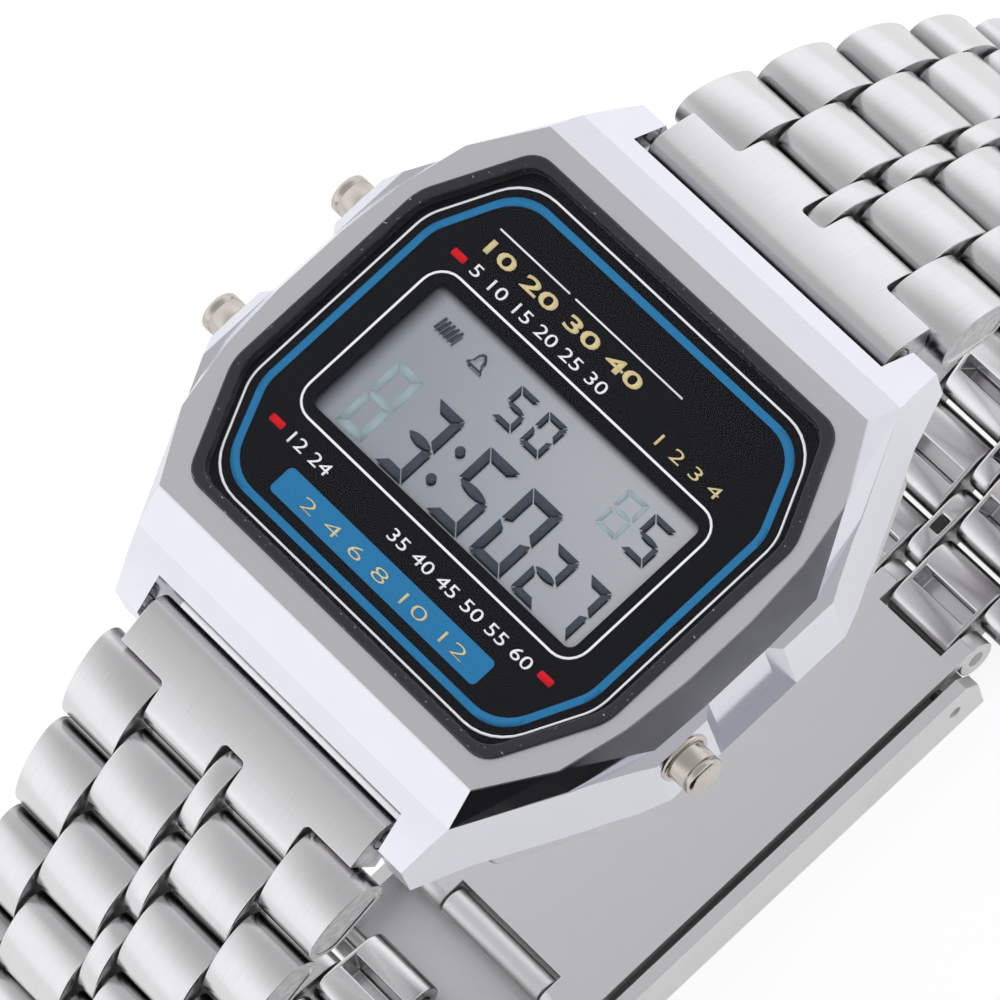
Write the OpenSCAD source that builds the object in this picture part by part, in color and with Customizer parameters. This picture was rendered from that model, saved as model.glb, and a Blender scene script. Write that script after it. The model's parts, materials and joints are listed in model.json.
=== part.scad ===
// A digital wristwatch on a steel bracelet, buckled and standing on its folded clasp.
// X points to three o'clock, Y to twelve o'clock and Z out of the dial. The origin is the
// middle of the footprint, on the surface that the clasp rests on. All sizes are millimetres.

/* [Case] */
// Width of the flat face
face_w = 30.6; // [28:0.1:34]
// Length of the flat face
face_l = 27; // [25:0.1:30]
// Sideways run of the facets at three and nine o'clock
facet_run_x = 0.98; // [0.7:0.02:1.3]
// Lengthways run of the facets at twelve and six o'clock
facet_run_y = 1.95; // [1.6:0.05:2.3]
// Depth of the facets below the face
facet_drop = 1.77; // [1.5:0.05:2]
// Sideways run of the shoulders' top edge beyond the facets
shoulder_run = 0.52; // [0.4:0.02:0.7]
// Fall of the shoulders' top edge below the facets
shoulder_fall = 0.17; // [0.1:0.01:0.3]
// Depth of the recess between the shoulders
recess_d = 0.7; // [0.4:0.05:0.9]
// Length of a side recess at its wall
recess_l = 3.8; // [3:0.1:4.6]
// Slant of each end of a side recess
recess_slant = 0.7; // [0.4:0.1:0.9]
// Height of the bevel round the underside
under_h = 0.6; // [0.3:0.1:0.8]
// Inward run of the bevel round the underside
under_run = 0.9; // [0.4:0.1:1.2]

/* [Lugs] */
// Length of a lug beyond the facets
lug_l = 2.95; // [2.5:0.05:3.5]
// Inward taper of a lug's outer side
lug_taper = 0.87; // [0.5:0.01:1.1]
// Thickness of a lug at its tip
lug_t = 1.72; // [1.4:0.02:2.1]
// Fall of the lug tips' top edge below the facets
lug_fall = 2.13; // [1.8:0.05:2.5]
// Height of the lug tips' bottom edge above the case's underside
lug_lift = 0.8; // [0.5:0.05:1]
// Distance of a spring bar from the lug tips
bar_inset = 0.8; // [0.7:0.05:0.95]
// Depth of a spring bar below the lug tips' top edge
bar_under = 0.4; // [0.3:0.05:0.6]
// Radius of a spring bar
bar_r = 0.75; // [0.6:0.01:0.9]
// Radius of a spring bar's tips
bar_tip_r = 0.4; // [0.3:0.01:0.48]
// Reach of a spring bar's tips into the lugs
bar_tip_l = 1; // [0.6:0.1:1.2]

/* [Crystal and dial] */
// Width of the flat rim at three and nine o'clock
rim_x = 1.2; // [1:0.05:1.4]
// Width of the flat rim at twelve and six o'clock
rim_y = 1.3; // [1.1:0.05:1.5]
// Width of the gasket round the crystal
gasket_t = 0.6; // [0.4:0.05:0.8]
// Height of the gasket above the face
gasket_rise = 0.22; // [0.1:0.02:0.3]
// Width of the ledge that carries the gasket
ledge_w = 1.4; // [1.2:0.05:1.7]
// Height of the crystal above the face
crystal_rise = 0.3; // [0.2:0.02:0.4]
// Thickness of the crystal
crystal_t = 0.8; // [0.6:0.05:1]
// Thickness of the printed dial
print_t = 0.12; // [0.08:0.01:0.16]
// Distance by which the print covers the display glass at each side
cover_x = 1.5; // [1.2:0.05:1.8]
// Distance by which the print covers the display glass at each end
cover_y = 2.5; // [2:0.05:3]
// Distance of the window's middle below the dial's middle
window_drop = 0.54; // [0.4:0.02:0.7]
// Corner radius of the window
window_r = 0.5; // [0.3:0.05:0.8]

/* [Module] */
// Gap between the module frame and the case
frame_gap = 0.2; // [0.1:0.02:0.3]
// Side wall of the module frame beside the glass
frame_wall_x = 1.25; // [1.05:0.05:1.5]
// End wall of the module frame beside the glass
frame_wall_y = 3.59; // [3.2:0.02:4]
// Side wall of the module frame beside the board
board_wall_x = 1.3; // [1.1:0.05:1.6]
// End wall of the module frame beside the board and the cell
board_wall_y = 0.6; // [0.5:0.02:0.9]
// Thickness of the display glass
lcd_t = 1.2; // [1:0.05:1.4]
// Gap between the printed dial and the display glass
lcd_gap = 0.13; // [0.1:0.01:0.16]
// Height of the display glass above the frame
lcd_proud = 0.2; // [0.1:0.02:0.24]
// Thickness of the backlight guide
guide_t = 0.5; // [0.4:0.05:0.6]
// Width of a contact strip
strip_w = 1.2; // [1:0.05:1.4]
// Height of a contact strip
strip_h = 0.85; // [0.75:0.05:1]
// Thickness of the circuit board
board_t = 0.8; // [0.6:0.05:1]
// Thickness of the coin cell
cell_t = 1.6; // [1.4:0.05:1.9]
// Gap between the circuit board and the coin cell
cell_gap = 0.8; // [0.75:0.05:0.95]
// Thickness of the cell strap
strap_t = 0.2; // [0.15:0.01:0.24]
// Width of the cell strap
strap_w = 5; // [4:0.1:6]
// Gap between the cell strap and the buzzer disc
buzzer_gap = 0.75; // [0.6:0.05:0.9]
// Thickness of the buzzer disc
buzzer_t = 0.25; // [0.15:0.01:0.3]
// Distance of the buzzer disc from the end walls of the case
buzzer_side = 1.8; // [1.5:0.05:2.2]
// Radius over the buzzer spring
buzzer_spring_r = 0.55; // [0.45:0.01:0.65]
// Distance of the buzzer spring's axis from the disc's edge
buzzer_edge = 0.6; // [0.5:0.05:0.8]
// Wall between the buzzer spring and the cell
spring_wall = 0.85; // [0.7:0.05:1]
// Distance of the cell from the side of the module frame
cell_wall_x = 1.5; // [1.2:0.05:1.8]
// Distance of the cell strap's end from the side of the module frame
strap_end = 1.35; // [1.1:0.05:1.6]

/* [Case back] */
// Thickness of the case back
back_t = 1; // [0.8:0.05:1.2]
// Distance of the case back's edge from the edge of the underside
back_edge = 1.05; // [0.8:0.05:1.3]
// Width of the back gasket
back_seal_w = 0.6; // [0.4:0.05:0.7]
// Height of the back gasket
back_seal_h = 0.4; // [0.3:0.05:0.5]
// Sideways distance of a screw from the back's corner
screw_in_x = 0.93; // [0.85:0.01:1.1]
// Lengthways distance of a screw from the back's edge
screw_in_y = 1.5; // [1.25:0.05:1.6]
// Radius of a screw's thread
screw_r = 0.5; // [0.4:0.01:0.6]
// Radius of a screw's head
screw_head_r = 1.05; // [0.9:0.01:1.1]
// Height of a screw's head
screw_head_h = 0.45; // [0.35:0.05:0.55]
// Reach of a screw into the case
screw_l = 2.2; // [1.6:0.1:2.6]

/* [Buttons] */
// Radius of a button
button_r = 1.15; // [1:0.01:1.35]
// Wall of the case between a button and the side recess
button_wall = 0.7; // [0.5:0.05:0.9]
// Wall of the case above a button
button_cap = 0.36; // [0.3:0.02:0.5]
// Reach of a button beyond the shoulders
button_out = 1.7; // [1.4:0.05:2]
// Travel of a button
button_travel = 0.7; // [0.5:0.05:0.8]
// Clearance round a button and its stem
slide_play = 0.05; // [0.02:0.01:0.08]
// Radius of a button's stem
stem_r = 0.5; // [0.4:0.01:0.6]
// Wall left behind a button's bore
bore_wall = 1.7; // [1.4:0.05:1.8]
// Length of a button spring when it is pressed
button_spring_l = 0.8; // [0.7:0.02:0.95]
// Thickness of a stem clip
clip_t = 0.2; // [0.15:0.01:0.24]
// Radius of a stem clip
clip_r = 0.9; // [0.8:0.01:1.05]
// Radius over a stem seal
seal_r = 0.95; // [0.85:0.01:1.1]
// Width of a stem seal
seal_w = 0.5; // [0.4:0.05:0.6]

/* [Bracelet] */
// Width of the bracelet at the case
bracelet_w = 20; // [19.4:0.1:21]
// Width of the clasp and of the links next to it
bracelet_end_w = 16; // [15:0.1:17]
// Number of rows over which each half of the bracelet narrows
taper_units = 4; // [3:1:6]
// Width of the centre links
centre_w = 1.3; // [1.1:0.05:1.6]
// Width of the links beside the centre
inner_w = 4.65; // [4.4:0.05:4.8]
// Sideways gap between two links
column_gap = 0.15; // [0.1:0.01:0.2]
// Lengthways gap between two links of one column
row_gap = 0.225; // [0.15:0.005:0.3]
// Radius of a link's ends
link_r = 1.25; // [1.1:0.01:1.4]
// Height of a link's crown above its ends
crown_rise = 0.25; // [0.15:0.01:0.3]
// Radius of a cross pin
pin_r = 0.5; // [0.4:0.01:0.55]
// Clearance round a cross pin
pin_play = 0.03; // [0.02:0.01:0.06]
// Distance of a pin's end from the bracelet's side
pin_inset = 0.2; // [0.1:0.05:0.4]
// Thickness of the folded steel round a link's hollow
fold_t = 0.35; // [0.25:0.01:0.4]
// Length of an end piece's full width beyond its spring bar
end_plate_l = 2; // [1.7:0.05:2.4]
// Wall of an end piece round its spring bar
end_wall = 0.22; // [0.15:0.01:0.26]
// Gap between an end piece and the case
end_clear = 0.15; // [0.1:0.01:0.2]
// Gap between an end piece and each lug
end_gap = 0.4; // [0.2:0.05:0.5]

/* [Clasp] */
// Thickness of the cover's bottom
cover_t = 0.8; // [0.6:0.05:1]
// Thickness of the cover's side walls
cover_wall = 0.8; // [0.6:0.05:1]
// Height of the cover
cover_h = 3.4; // [2.9:0.05:3.9]
// Reach of the cover beyond its end pin
cover_over = 1.02; // [0.9:0.02:1.2]
// Distance from the cover's hinge to the end pin above it
cover_hinge_in = 2.9; // [2.5:0.05:3.4]
// Radius of the knuckles round the cover's hinge
cover_knuckle_r = 0.85; // [0.7:0.01:1]
// Radius of the cover's hinge pin
cover_pin_r = 0.4; // [0.3:0.01:0.48]
// Reach of the cover beyond its hinge
cover_tail = 1.9; // [1.5:0.05:2.2]
// Gap between the links and the cover
cover_clear = 0.15; // [0.1:0.01:0.2]
// Gap between one blade and the next or the cover
blade_gap = 0.2; // [0.15:0.01:0.25]
// Thickness of the blades
blade_t = 0.6; // [0.5:0.02:0.7]
// Distance of the inner blade's edge from the cover's side wall
blade_side = 0.5; // [0.4:0.05:0.7]
// Distance by which the outer blade is narrower at each side than the inner blade
blade_step = 1.3; // [1:0.05:1.6]
// Distance from the fold hinge to the cover's end pin
fold_in = 5.3; // [4.6:0.1:6.2]
// Radius of the knuckles round the fold hinge
fold_knuckle_r = 0.9; // [0.8:0.01:1]
// Width of the outer blade's knuckle at the fold hinge
fold_knuckle_w = 7.8; // [6.6:0.1:9.2]
// Radius of the pin in the fold hinge
fold_pin_r = 0.45; // [0.35:0.01:0.52]
// Distance between two adjusting holes
adjust_step = 2.4; // [2:0.1:2.8]

/* [Hidden] */
$fn = 48;
// Turns in degrees between neighbouring units, from the case round to the clasp
link_turns = [2, 6, 8, 11, 11, 15, 17, 18, 17, 16, 14, 10];
// Slope in degrees of the end pieces
end_slope = 28;
units = len(link_turns);
// Overrun of every cut beyond what it cuts
over = 1;
// Height of the narrow land between the flat face and its facets
face_land = 0.05;
// Overlap of the faceted top with the wall below it
top_skirt = 0.2;
// Steps of a rounded corner and of a link's end
corner_steps = 5;
link_steps = 6;

facet_w = face_w + 2 * facet_run_x;
facet_l = face_l + 2 * facet_run_y;
case_w = facet_w + 2 * shoulder_run;
case_span = facet_l + 2 * lug_l;
recess_w = case_w - 2 * recess_d;
shoulder_drop = facet_drop + shoulder_fall;
lug_tip_drop = facet_drop + lug_fall;
bar_drop = lug_tip_drop + bar_under;
bar_span = case_span - 2 * bar_inset;
end_r = bar_r + pin_play + end_wall;
notch_l = bar_span - 2 * (end_r + end_clear);
end_reach = end_plate_l + column_gap + link_r;
link_pitch = 4 * link_r + 2 * row_gap;
seat_w = face_w - 2 * rim_x;
seat_l = face_l - 2 * rim_y;

// Shares of the half width and half length for each corner of the case's outlines
face_shares = [[1, 0.16], [0.98, 0.444], [0.925, 0.726], [0.768, 1]];
facet_shares = [[1, 0.14], [0.992, 0.356], [0.9, 0.647], [0.7236, 1]];
shoulder_shares = [[1, 0.326], [0.902, 0.489]];
facet_end_shares = [[0.9, 0.647]];
lug_knee_share = 0.43;
lug_knee_drop_share = 0.385;
under_lug_shares = [0.36, 0.62];
seat_shares = [[1, 0.525], [0.787, 1]];
back_shares = [[1, 0.66], [0.83, 1]];
// Radii of the seat's four side corners and four end corners
seat_corner_r = [3, 1.5];
back_corner_r = [0.8, 0.8];

// Unit vector along v
function unit(v) = v / norm(v);

// Arc round a centre, from one angle to another
function arc(c, r, a, b, n) = [for (i = [0 : n]) c + r * [cos(a + (b - a) * i / n), sin(a + (b - a) * i / n)]];

// Rounded corner at b between a and c of an outline that runs anticlockwise
function corner(a, b, c, r) =
    let (u = unit(a - b), v = unit(c - b), half = acos(u * v) / 2,
        m = b + unit(u + v) * r / sin(half),
        t = b + u * r / tan(half) - m,
        start = atan2(t[1], t[0]))
    arc(m, r, start, start + 180 - 2 * half, corner_steps);

function rounded(p, r) = let (n = len(p))
    [for (i = [0 : n - 1]) each corner(p[(i + n - 1) % n], p[i], p[(i + 1) % n], r[i])];

// A quarter outline repeated in all four quarters
function reversed(p) = [for (i = [len(p) - 1 : -1 : 0]) p[i]];
function four_way(q) = concat(q, [for (p = reversed(q)) [-p[0], p[1]]],
    [for (p = q) [-p[0], -p[1]]], [for (p = reversed(q)) [p[0], -p[1]]]);
function sized(shares, w, l) = [for (s = shares) [s[0] * w / 2, s[1] * l / 2]];
function mirrored(p) = concat(p, [for (q = reversed(p)) [-q[0], q[1]]]);
function seat_outline(w, l) = rounded(four_way(sized(seat_shares, w, l)),
    concat(seat_corner_r, reversed(seat_corner_r), seat_corner_r, reversed(seat_corner_r)));

// Headings of the links and the places of their hinges, as [outwards, upwards] from the spring bar
function along(a) = [cos(a), -sin(a)];
function heading(k) = k < 0 ? end_slope : heading(k - 1) + link_turns[k];
function hinge(k) = k == 0 ? end_reach * along(end_slope) : hinge(k - 1) + link_pitch * along(heading(k - 1));
chain_end = hinge(units);
clasp_pin_z = cover_t + cover_clear + link_r;
clasp_pin_y = bar_span / 2 + chain_end[0];
bar_z = clasp_pin_z - chain_end[1];
top_z = bar_z + bar_drop;

// Depths below the face
print_depth = crystal_t - crystal_rise;
lcd_depth = print_depth + print_t + lcd_gap;
seat_depth = lcd_depth + lcd_proud;
strip_depth = lcd_depth + lcd_t;
board_depth = strip_depth + strip_h;
cell_depth = board_depth + board_t + cell_gap;
strap_depth = cell_depth + cell_t;
buzzer_depth = strap_depth + strap_t + buzzer_gap;
case_h = buzzer_depth + buzzer_t;
lug_end_drop = case_h - lug_lift;
button_drop = shoulder_drop + button_cap + button_r + slide_play;
button_y = recess_l / 2 + recess_slant + button_wall + button_r + slide_play;

lug_root_w = facet_w * facet_shares[3][0];
lug_tip_w = lug_root_w - 2 * lug_taper;
lug_gap = lug_tip_w - 2 * lug_t;

back_w = case_w - 2 * under_run - 2 * back_edge;
back_l = facet_l - 2 * back_edge;
screw_x = back_w / 2 * back_shares[1][0] - screw_in_x;
screw_y = back_l / 2 - screw_in_y;

cavity_w = seat_w - 2 * ledge_w;
cavity_l = seat_l - 2 * ledge_w;
frame_w = cavity_w - 2 * frame_gap;
frame_l = cavity_l - 2 * frame_gap;
frame_h = strap_depth + strap_t - seat_depth;
lcd_w = frame_w - 2 * frame_wall_x;
lcd_l = frame_l - 2 * frame_wall_y;
lcd_y = -window_drop;
window_w = lcd_w - 2 * cover_x;
window_l = lcd_l - 2 * cover_y;
board_w = frame_w - 2 * board_wall_x;
board_l = frame_l - 2 * board_wall_y;
buzzer_r = cavity_l / 2 - buzzer_side;
buzzer_x = buzzer_r + buzzer_side - cavity_w / 2;
buzzer_spring_x = buzzer_x - buzzer_r + buzzer_edge;
// The cell fills the room between the buzzer spring and the opposite wall, or the board's length
cell_x0 = buzzer_spring_x + buzzer_spring_r + spring_wall;
cell_x1 = frame_w / 2 - cell_wall_x;
cell_r = min(cell_x1 - cell_x0, board_l) / 2;
cell_x = cell_x1 - cell_r;
// Clearances round the glass and the board in their frame
frame_play = 0.05;
// Size of the slot through which a stem reaches the board
stem_slot_w = 2 * (clip_r + seal_w / 2);
// Width of the shelf that carries the glass
shelf_w = 0.2;
// Circuit parts under the board
chip_w = 6;
chip_t = 0.6;
quartz_l = 6;
quartz_r = 0.35;
lamp_w = 1.6;
contact_t = 0.12;
contact_w = 1.6;
contact_h = 1.2;
wire_r = 0.12;
strap_x0 = cell_x - cell_r;
strap_l = frame_w / 2 - strap_end - strap_x0;

bore_x = cavity_w / 2 + bore_wall;
head_x = bore_x + button_spring_l + button_travel + slide_play * 2;
clip_x = cavity_w / 2 - clip_t - slide_play * 2;
stem_end_x = clip_x - clip_t;
button_chamfer = 0.2;
button_end_x = case_w / 2 + button_out;

inner_x = centre_w / 2 + column_gap;
outer_x = inner_x + inner_w + column_gap;
b_columns = [[-inner_x - inner_w, -inner_x], [inner_x, inner_x + inner_w]];
row_step = link_pitch / 2;
end_w = lug_gap - 2 * end_gap;
link_hollow_h = 2 * link_r + crown_rise - fold_t * 2;
// Side walls of a link's hollow
hollow_side = 0.3;

// Heights and places in the clasp
cover_inner = bracelet_end_w / 2 - cover_wall;
cover_hinge_z = cover_t + blade_gap + cover_knuckle_r;
cover_hinge_y = clasp_pin_y - cover_hinge_in;
inner_blade_z = cover_hinge_z + cover_knuckle_r + blade_gap + blade_t / 2;
fold_z = inner_blade_z + blade_t / 2 - fold_knuckle_r;
fold_y = fold_in - clasp_pin_y;
cover_y0 = -clasp_pin_y - cover_over;
cover_y1 = cover_hinge_y + cover_tail;
inner_blade_w = 2 * (cover_inner - blade_side);
outer_blade_w = inner_blade_w - 2 * blade_step;
finger_r = clasp_pin_z - cover_t - blade_gap;
cover_pin_inset = 0.1;
clasp_bar_tip_r = 0.4;
adjust_count = 3;

half_names = ["12", "6"];
case_nodes = ["case_body", "crystal", "crystal_gasket", "dial_print", "lcd_glass", "light_guide",
    "light_lamp", "contact_strips", "module_frame", "circuit_board", "circuit_parts",
    "switch_contacts", "coin_cell", "cell_strap", "buzzer_disc", "buzzer_spring", "back_gasket",
    "case_back", "back_screws"];
button_nodes = ["light_button", "mode_button", "start_button"];
clip_nodes = ["light_clip", "mode_clip", "start_clip"];
link_nodes = [for (h = half_names) for (k = [1 : units]) str("links_", h, "_", k)];
// Each button's side, left or right, and half, upper or lower
button_places = [[-1, 1], [-1, -1], [1, -1]];

// A layer that starts at a depth below the face
module layer(depth, t) translate([0, 0, top_z - depth - t]) linear_extrude(t) children();

// An outline drawn as [y, z] and drawn out along X between two places
module along_x(x0, x1) translate([x0, 0, 0]) rotate([90, 0, 90]) linear_extrude(x1 - x0) children();

// A round bar along X between two places, at a point [y, z]
module bar_x(x0, x1, r, p) translate([x0, p[0], p[1]]) rotate([0, 90, 0]) cylinder(r = r, h = x1 - x0);

// Both halves of the bracelet, or one of them
module half(h) mirror([0, h == 0 ? 0 : 1, 0]) children();

module case_top() hull() {
    layer(0, face_land) polygon(four_way(sized(face_shares, face_w, face_l)));
    layer(facet_drop, top_skirt) polygon(four_way(sized(facet_shares, facet_w, facet_l)));
}

// Outline of the walls, the shoulders and the lugs
function wall_quarter() = [
    each sized(shoulder_shares, case_w, case_span),
    each sized(facet_end_shares, facet_w + 2 * face_land, facet_l),
    [lug_root_w / 2, facet_l / 2],
    [lug_tip_w / 2, case_span / 2],
    [lug_gap / 2, case_span / 2],
    [lug_gap / 2, notch_l / 2]];

// Profile of the lugs and the ends, as [y, depth]
function end_profile() = let (run = case_span / 2 - facet_l / 2, fall = lug_tip_drop - facet_drop,
        low = case_h - lug_end_drop)
    [[facet_l / 2, -facet_drop],
    [facet_l / 2 + run * lug_knee_share, -facet_drop - fall * lug_knee_drop_share],
    [case_span / 2, -lug_tip_drop],
    [case_span / 2, -lug_end_drop],
    [case_span / 2 - run * under_lug_shares[1], -lug_end_drop - low * under_lug_shares[1]],
    [case_span / 2 - run, -case_h]];

// Profile of the shoulders, as [x, depth]
function side_profile() = [[facet_w / 2, -facet_drop], [case_w / 2, -shoulder_drop],
    [case_w / 2, under_h - case_h], [case_w / 2 - under_run, -case_h]];

module case_wall() intersection() {
    layer(facet_drop, case_h - facet_drop) polygon(four_way(wall_quarter()));
    translate([0, 0, top_z]) along_x(-case_w, case_w) polygon(mirrored(end_profile()));
    translate([0, case_span, top_z]) rotate([90, 0, 0]) linear_extrude(2 * case_span)
        polygon(mirrored(side_profile()));
}

// The recess between the shoulders of one side
module side_recess() layer(facet_drop, case_h - facet_drop - under_h) polygon([
    [recess_w / 2, -recess_l / 2],
    [case_w / 2, -recess_l / 2 - recess_slant],
    [case_w / 2 + over, -recess_l / 2 - recess_slant],
    [case_w / 2 + over, recess_l / 2 + recess_slant],
    [case_w / 2, recess_l / 2 + recess_slant],
    [recess_w / 2, recess_l / 2]]);

// Puts something that lies along +X at a button's place
module at_button(place) translate([0, place[1] * button_y, top_z - button_drop])
    rotate([0, 0, place[0] > 0 ? 0 : 180]) children();

module button_bore() {
    bar_x(bore_x, case_w / 2 + over, button_r + slide_play, [0, 0]);
    bar_x(cavity_w / 2 - over, bore_x + over, stem_r + slide_play, [0, 0]);
    bar_x(bore_x - seal_w, bore_x, seal_r, [0, 0]);
    bar_x(stem_end_x - button_travel, cavity_w / 2, clip_r + slide_play, [0, 0]);
}

module screw_holes(r, depth, t) for (x = [-1, 1], y = [-1, 1])
    translate([x * screw_x, y * screw_y, top_z - depth - t]) cylinder(r = r, h = t);

module back_seal_ring() difference() {
    polygon(seat_outline(seat_w, seat_l));
    polygon(seat_outline(seat_w - 2 * back_seal_w, seat_l - 2 * back_seal_w));
}

module case_body() color([0.72, 0.72, 0.74]) difference() {
    union() {
        case_top();
        case_wall();
    }
    layer(-over, seat_depth + over) polygon(seat_outline(seat_w, seat_l));
    layer(0, case_h + over) polygon(seat_outline(cavity_w, cavity_l));
    layer(case_h - back_seal_h, back_seal_h + over) back_seal_ring();
    for (s = [0, 180]) rotate([0, 0, s]) side_recess();
    for (p = button_places) at_button(p) button_bore();
    for (y = [-1, 1]) bar_x(-lug_gap / 2 - bar_tip_l, lug_gap / 2 + bar_tip_l, bar_tip_r, [y * bar_span / 2, bar_z]);
    screw_holes(screw_r, case_h - screw_l, screw_l + over);
}

module crystal() color([0.1, 0.1, 0.12, 0.4]) layer(-crystal_rise, crystal_t)
    polygon(seat_outline(seat_w - 2 * gasket_t, seat_l - 2 * gasket_t));

module crystal_gasket() color([0.25, 0.25, 0.27]) difference() {
    layer(-gasket_rise, gasket_rise + seat_depth) polygon(seat_outline(seat_w, seat_l));
    layer(-gasket_rise - over, gasket_rise + over + print_depth + print_t)
        polygon(seat_outline(seat_w - 2 * gasket_t, seat_l - 2 * gasket_t));
    layer(0, seat_depth + over) polygon(seat_outline(cavity_w, cavity_l));
}

module centred(w, l, r) polygon(rounded([[w / 2, -l / 2], [w / 2, l / 2], [-w / 2, l / 2], [-w / 2, -l / 2]],
    [r, r, r, r]));

module dial_print() color([0.09, 0.09, 0.11]) layer(print_depth, print_t) difference() {
    polygon(seat_outline(seat_w - 2 * gasket_t, seat_l - 2 * gasket_t));
    translate([0, lcd_y]) centred(window_w, window_l, window_r);
}

module lcd_glass() color([0.66, 0.67, 0.69]) layer(lcd_depth, lcd_t)
    translate([0, lcd_y]) square([lcd_w, lcd_l], center = true);

// The room between the two contact strips
guide_l = lcd_l - 2 * strip_w - 4 * frame_play;

module light_guide() color("white") layer(strip_depth + frame_play, guide_t)
    translate([0, lcd_y]) square([lcd_w - 2 * shelf_w - 2 * lamp_w, guide_l], center = true);

module light_lamp() color("gold") layer(strip_depth + frame_play, guide_t)
    translate([lcd_w / 2 - shelf_w - lamp_w + frame_play, lcd_y - lamp_w / 2]) square([lamp_w - 2 * frame_play, lamp_w]);

module contact_strips() color("dimgray") layer(strip_depth, strip_h) for (s = [-1, 1])
    translate([0, lcd_y + s * (lcd_l - strip_w) / 2]) square([lcd_w - 2 * shelf_w - 2 * frame_play, strip_w], center = true);

module stem_slots() for (p = button_places) at_button(p)
    translate([board_w / 2 - over, -stem_slot_w / 2, -stem_slot_w / 2]) cube([frame_w / 2, stem_slot_w, stem_slot_w]);

module module_frame() color([0.2, 0.2, 0.22]) difference() {
    layer(seat_depth, frame_h) polygon(seat_outline(frame_w, frame_l));
    layer(seat_depth - over, over + strip_depth - seat_depth)
        translate([0, lcd_y]) square([lcd_w + 2 * frame_play, lcd_l + 2 * frame_play], center = true);
    layer(strip_depth - over, strip_h + over)
        translate([0, lcd_y]) square([lcd_w - 2 * shelf_w, lcd_l + 2 * frame_play], center = true);
    layer(board_depth, board_t + over) polygon(seat_outline(board_w + 2 * frame_play, board_l + 2 * frame_play));
    translate([cell_x, 0, top_z - case_h]) cylinder(r = cell_r + frame_play, h = case_h - board_depth - board_t);
    translate([buzzer_spring_x, 0, top_z - case_h]) cylinder(r = buzzer_spring_r + frame_play, h = case_h - board_depth - board_t);
    layer(strap_depth, frame_h) translate([strap_x0 - frame_play, -strap_w / 2 - frame_play])
        square([strap_l + 2 * frame_play, strap_w + 2 * frame_play]);
    stem_slots();
}

module circuit_board() color([0.1, 0.35, 0.2]) layer(board_depth, board_t) polygon(seat_outline(board_w, board_l));

// A flat chip and the can of the quartz crystal, both under the board
module circuit_parts() color([0.12, 0.12, 0.12]) {
    layer(board_depth + board_t, chip_t) square([chip_w, chip_w], center = true);
    bar_x(-quartz_l / 2, quartz_l / 2, quartz_r, [chip_w, top_z - board_depth - board_t - quartz_r]);
}

// A leaf on the board's edge in front of each stem
module switch_contacts() color("gold") for (p = button_places) at_button(p)
    translate([board_w / 2, -contact_w / 2, -contact_h / 2]) cube([contact_t, contact_w, contact_h]);

module coin_cell() color([0.75, 0.76, 0.78]) translate([cell_x, 0, top_z - cell_depth - cell_t])
    cylinder(r = cell_r, h = cell_t, $fn = 96);

module cell_strap() color([0.8, 0.8, 0.8]) layer(strap_depth, strap_t)
    translate([strap_x0, -strap_w / 2]) square([strap_l, strap_w]);

module buzzer_disc() color([0.8, 0.65, 0.3]) translate([buzzer_x, 0, top_z - buzzer_depth - buzzer_t])
    cylinder(r = buzzer_r, h = buzzer_t, $fn = 96);

// A coil of wire round Z: r is measured over the coil and l over its two ends
module coil(r, l, turns) {
    steps = 10;
    sides = 5;
    mid = r - wire_r;
    rise = l - 2 * wire_r;
    rings = [for (i = [0 : turns * steps]) let (a = i * 360 / steps)
        [for (j = [0 : sides - 1]) let (b = j * 360 / sides, q = mid + wire_r * cos(b))
            [q * cos(a), q * sin(a), wire_r + rise * i / (turns * steps) + wire_r * sin(b)]]];
    last = turns * steps;
    polyhedron([for (g = rings) each g], concat(
        [[for (j = [0 : sides - 1]) j]],
        [for (i = [0 : last - 1], j = [0 : sides - 1]) let (n = (j + 1) % sides)
            each [[i * sides + j, (i + 1) * sides + j, (i + 1) * sides + n],
                [i * sides + j, (i + 1) * sides + n, i * sides + n]]],
        [[for (j = [sides - 1 : -1 : 0]) last * sides + j]]));
}

module buzzer_spring() color("gold") translate([buzzer_spring_x, 0, top_z - buzzer_depth])
    coil(buzzer_spring_r, buzzer_depth - board_depth - board_t, 6);

module back_gasket() color([0.15, 0.15, 0.15]) layer(case_h - back_seal_h, back_seal_h) back_seal_ring();

module case_back() color([0.78, 0.78, 0.8]) difference() {
    layer(case_h, back_t) polygon(rounded(four_way(sized(back_shares, back_w, back_l)),
        concat(back_corner_r, back_corner_r, back_corner_r, back_corner_r)));
    screw_holes(screw_r, case_h, back_t);
    screw_holes(screw_head_r, case_h + back_t - screw_head_h, screw_head_h);
}

module back_screws() color([0.6, 0.6, 0.62]) union() {
    screw_holes(screw_r, case_h - screw_l, screw_l + back_t - screw_head_h);
    screw_holes(screw_head_r, case_h + back_t - screw_head_h, screw_head_h);
}

module button(place) color([0.78, 0.76, 0.72]) at_button(place) {
    bar_x(head_x, button_end_x - button_chamfer, button_r, [0, 0]);
    translate([button_end_x - button_chamfer, 0, 0]) rotate([0, 90, 0])
        cylinder(r1 = button_r, r2 = button_r - button_chamfer, h = button_chamfer);
    bar_x(stem_end_x, head_x, stem_r, [0, 0]);
}

module light_button() button(button_places[0]);
module mode_button() button(button_places[1]);
module start_button() button(button_places[2]);

module clip(place) color([0.5, 0.5, 0.5]) at_button(place) difference() {
    bar_x(clip_x, clip_x + clip_t, clip_r, [0, 0]);
    bar_x(clip_x - over, clip_x + over, stem_r, [0, 0]);
}

module light_clip() clip(button_places[0]);
module mode_clip() clip(button_places[1]);
module start_clip() clip(button_places[2]);

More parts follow.
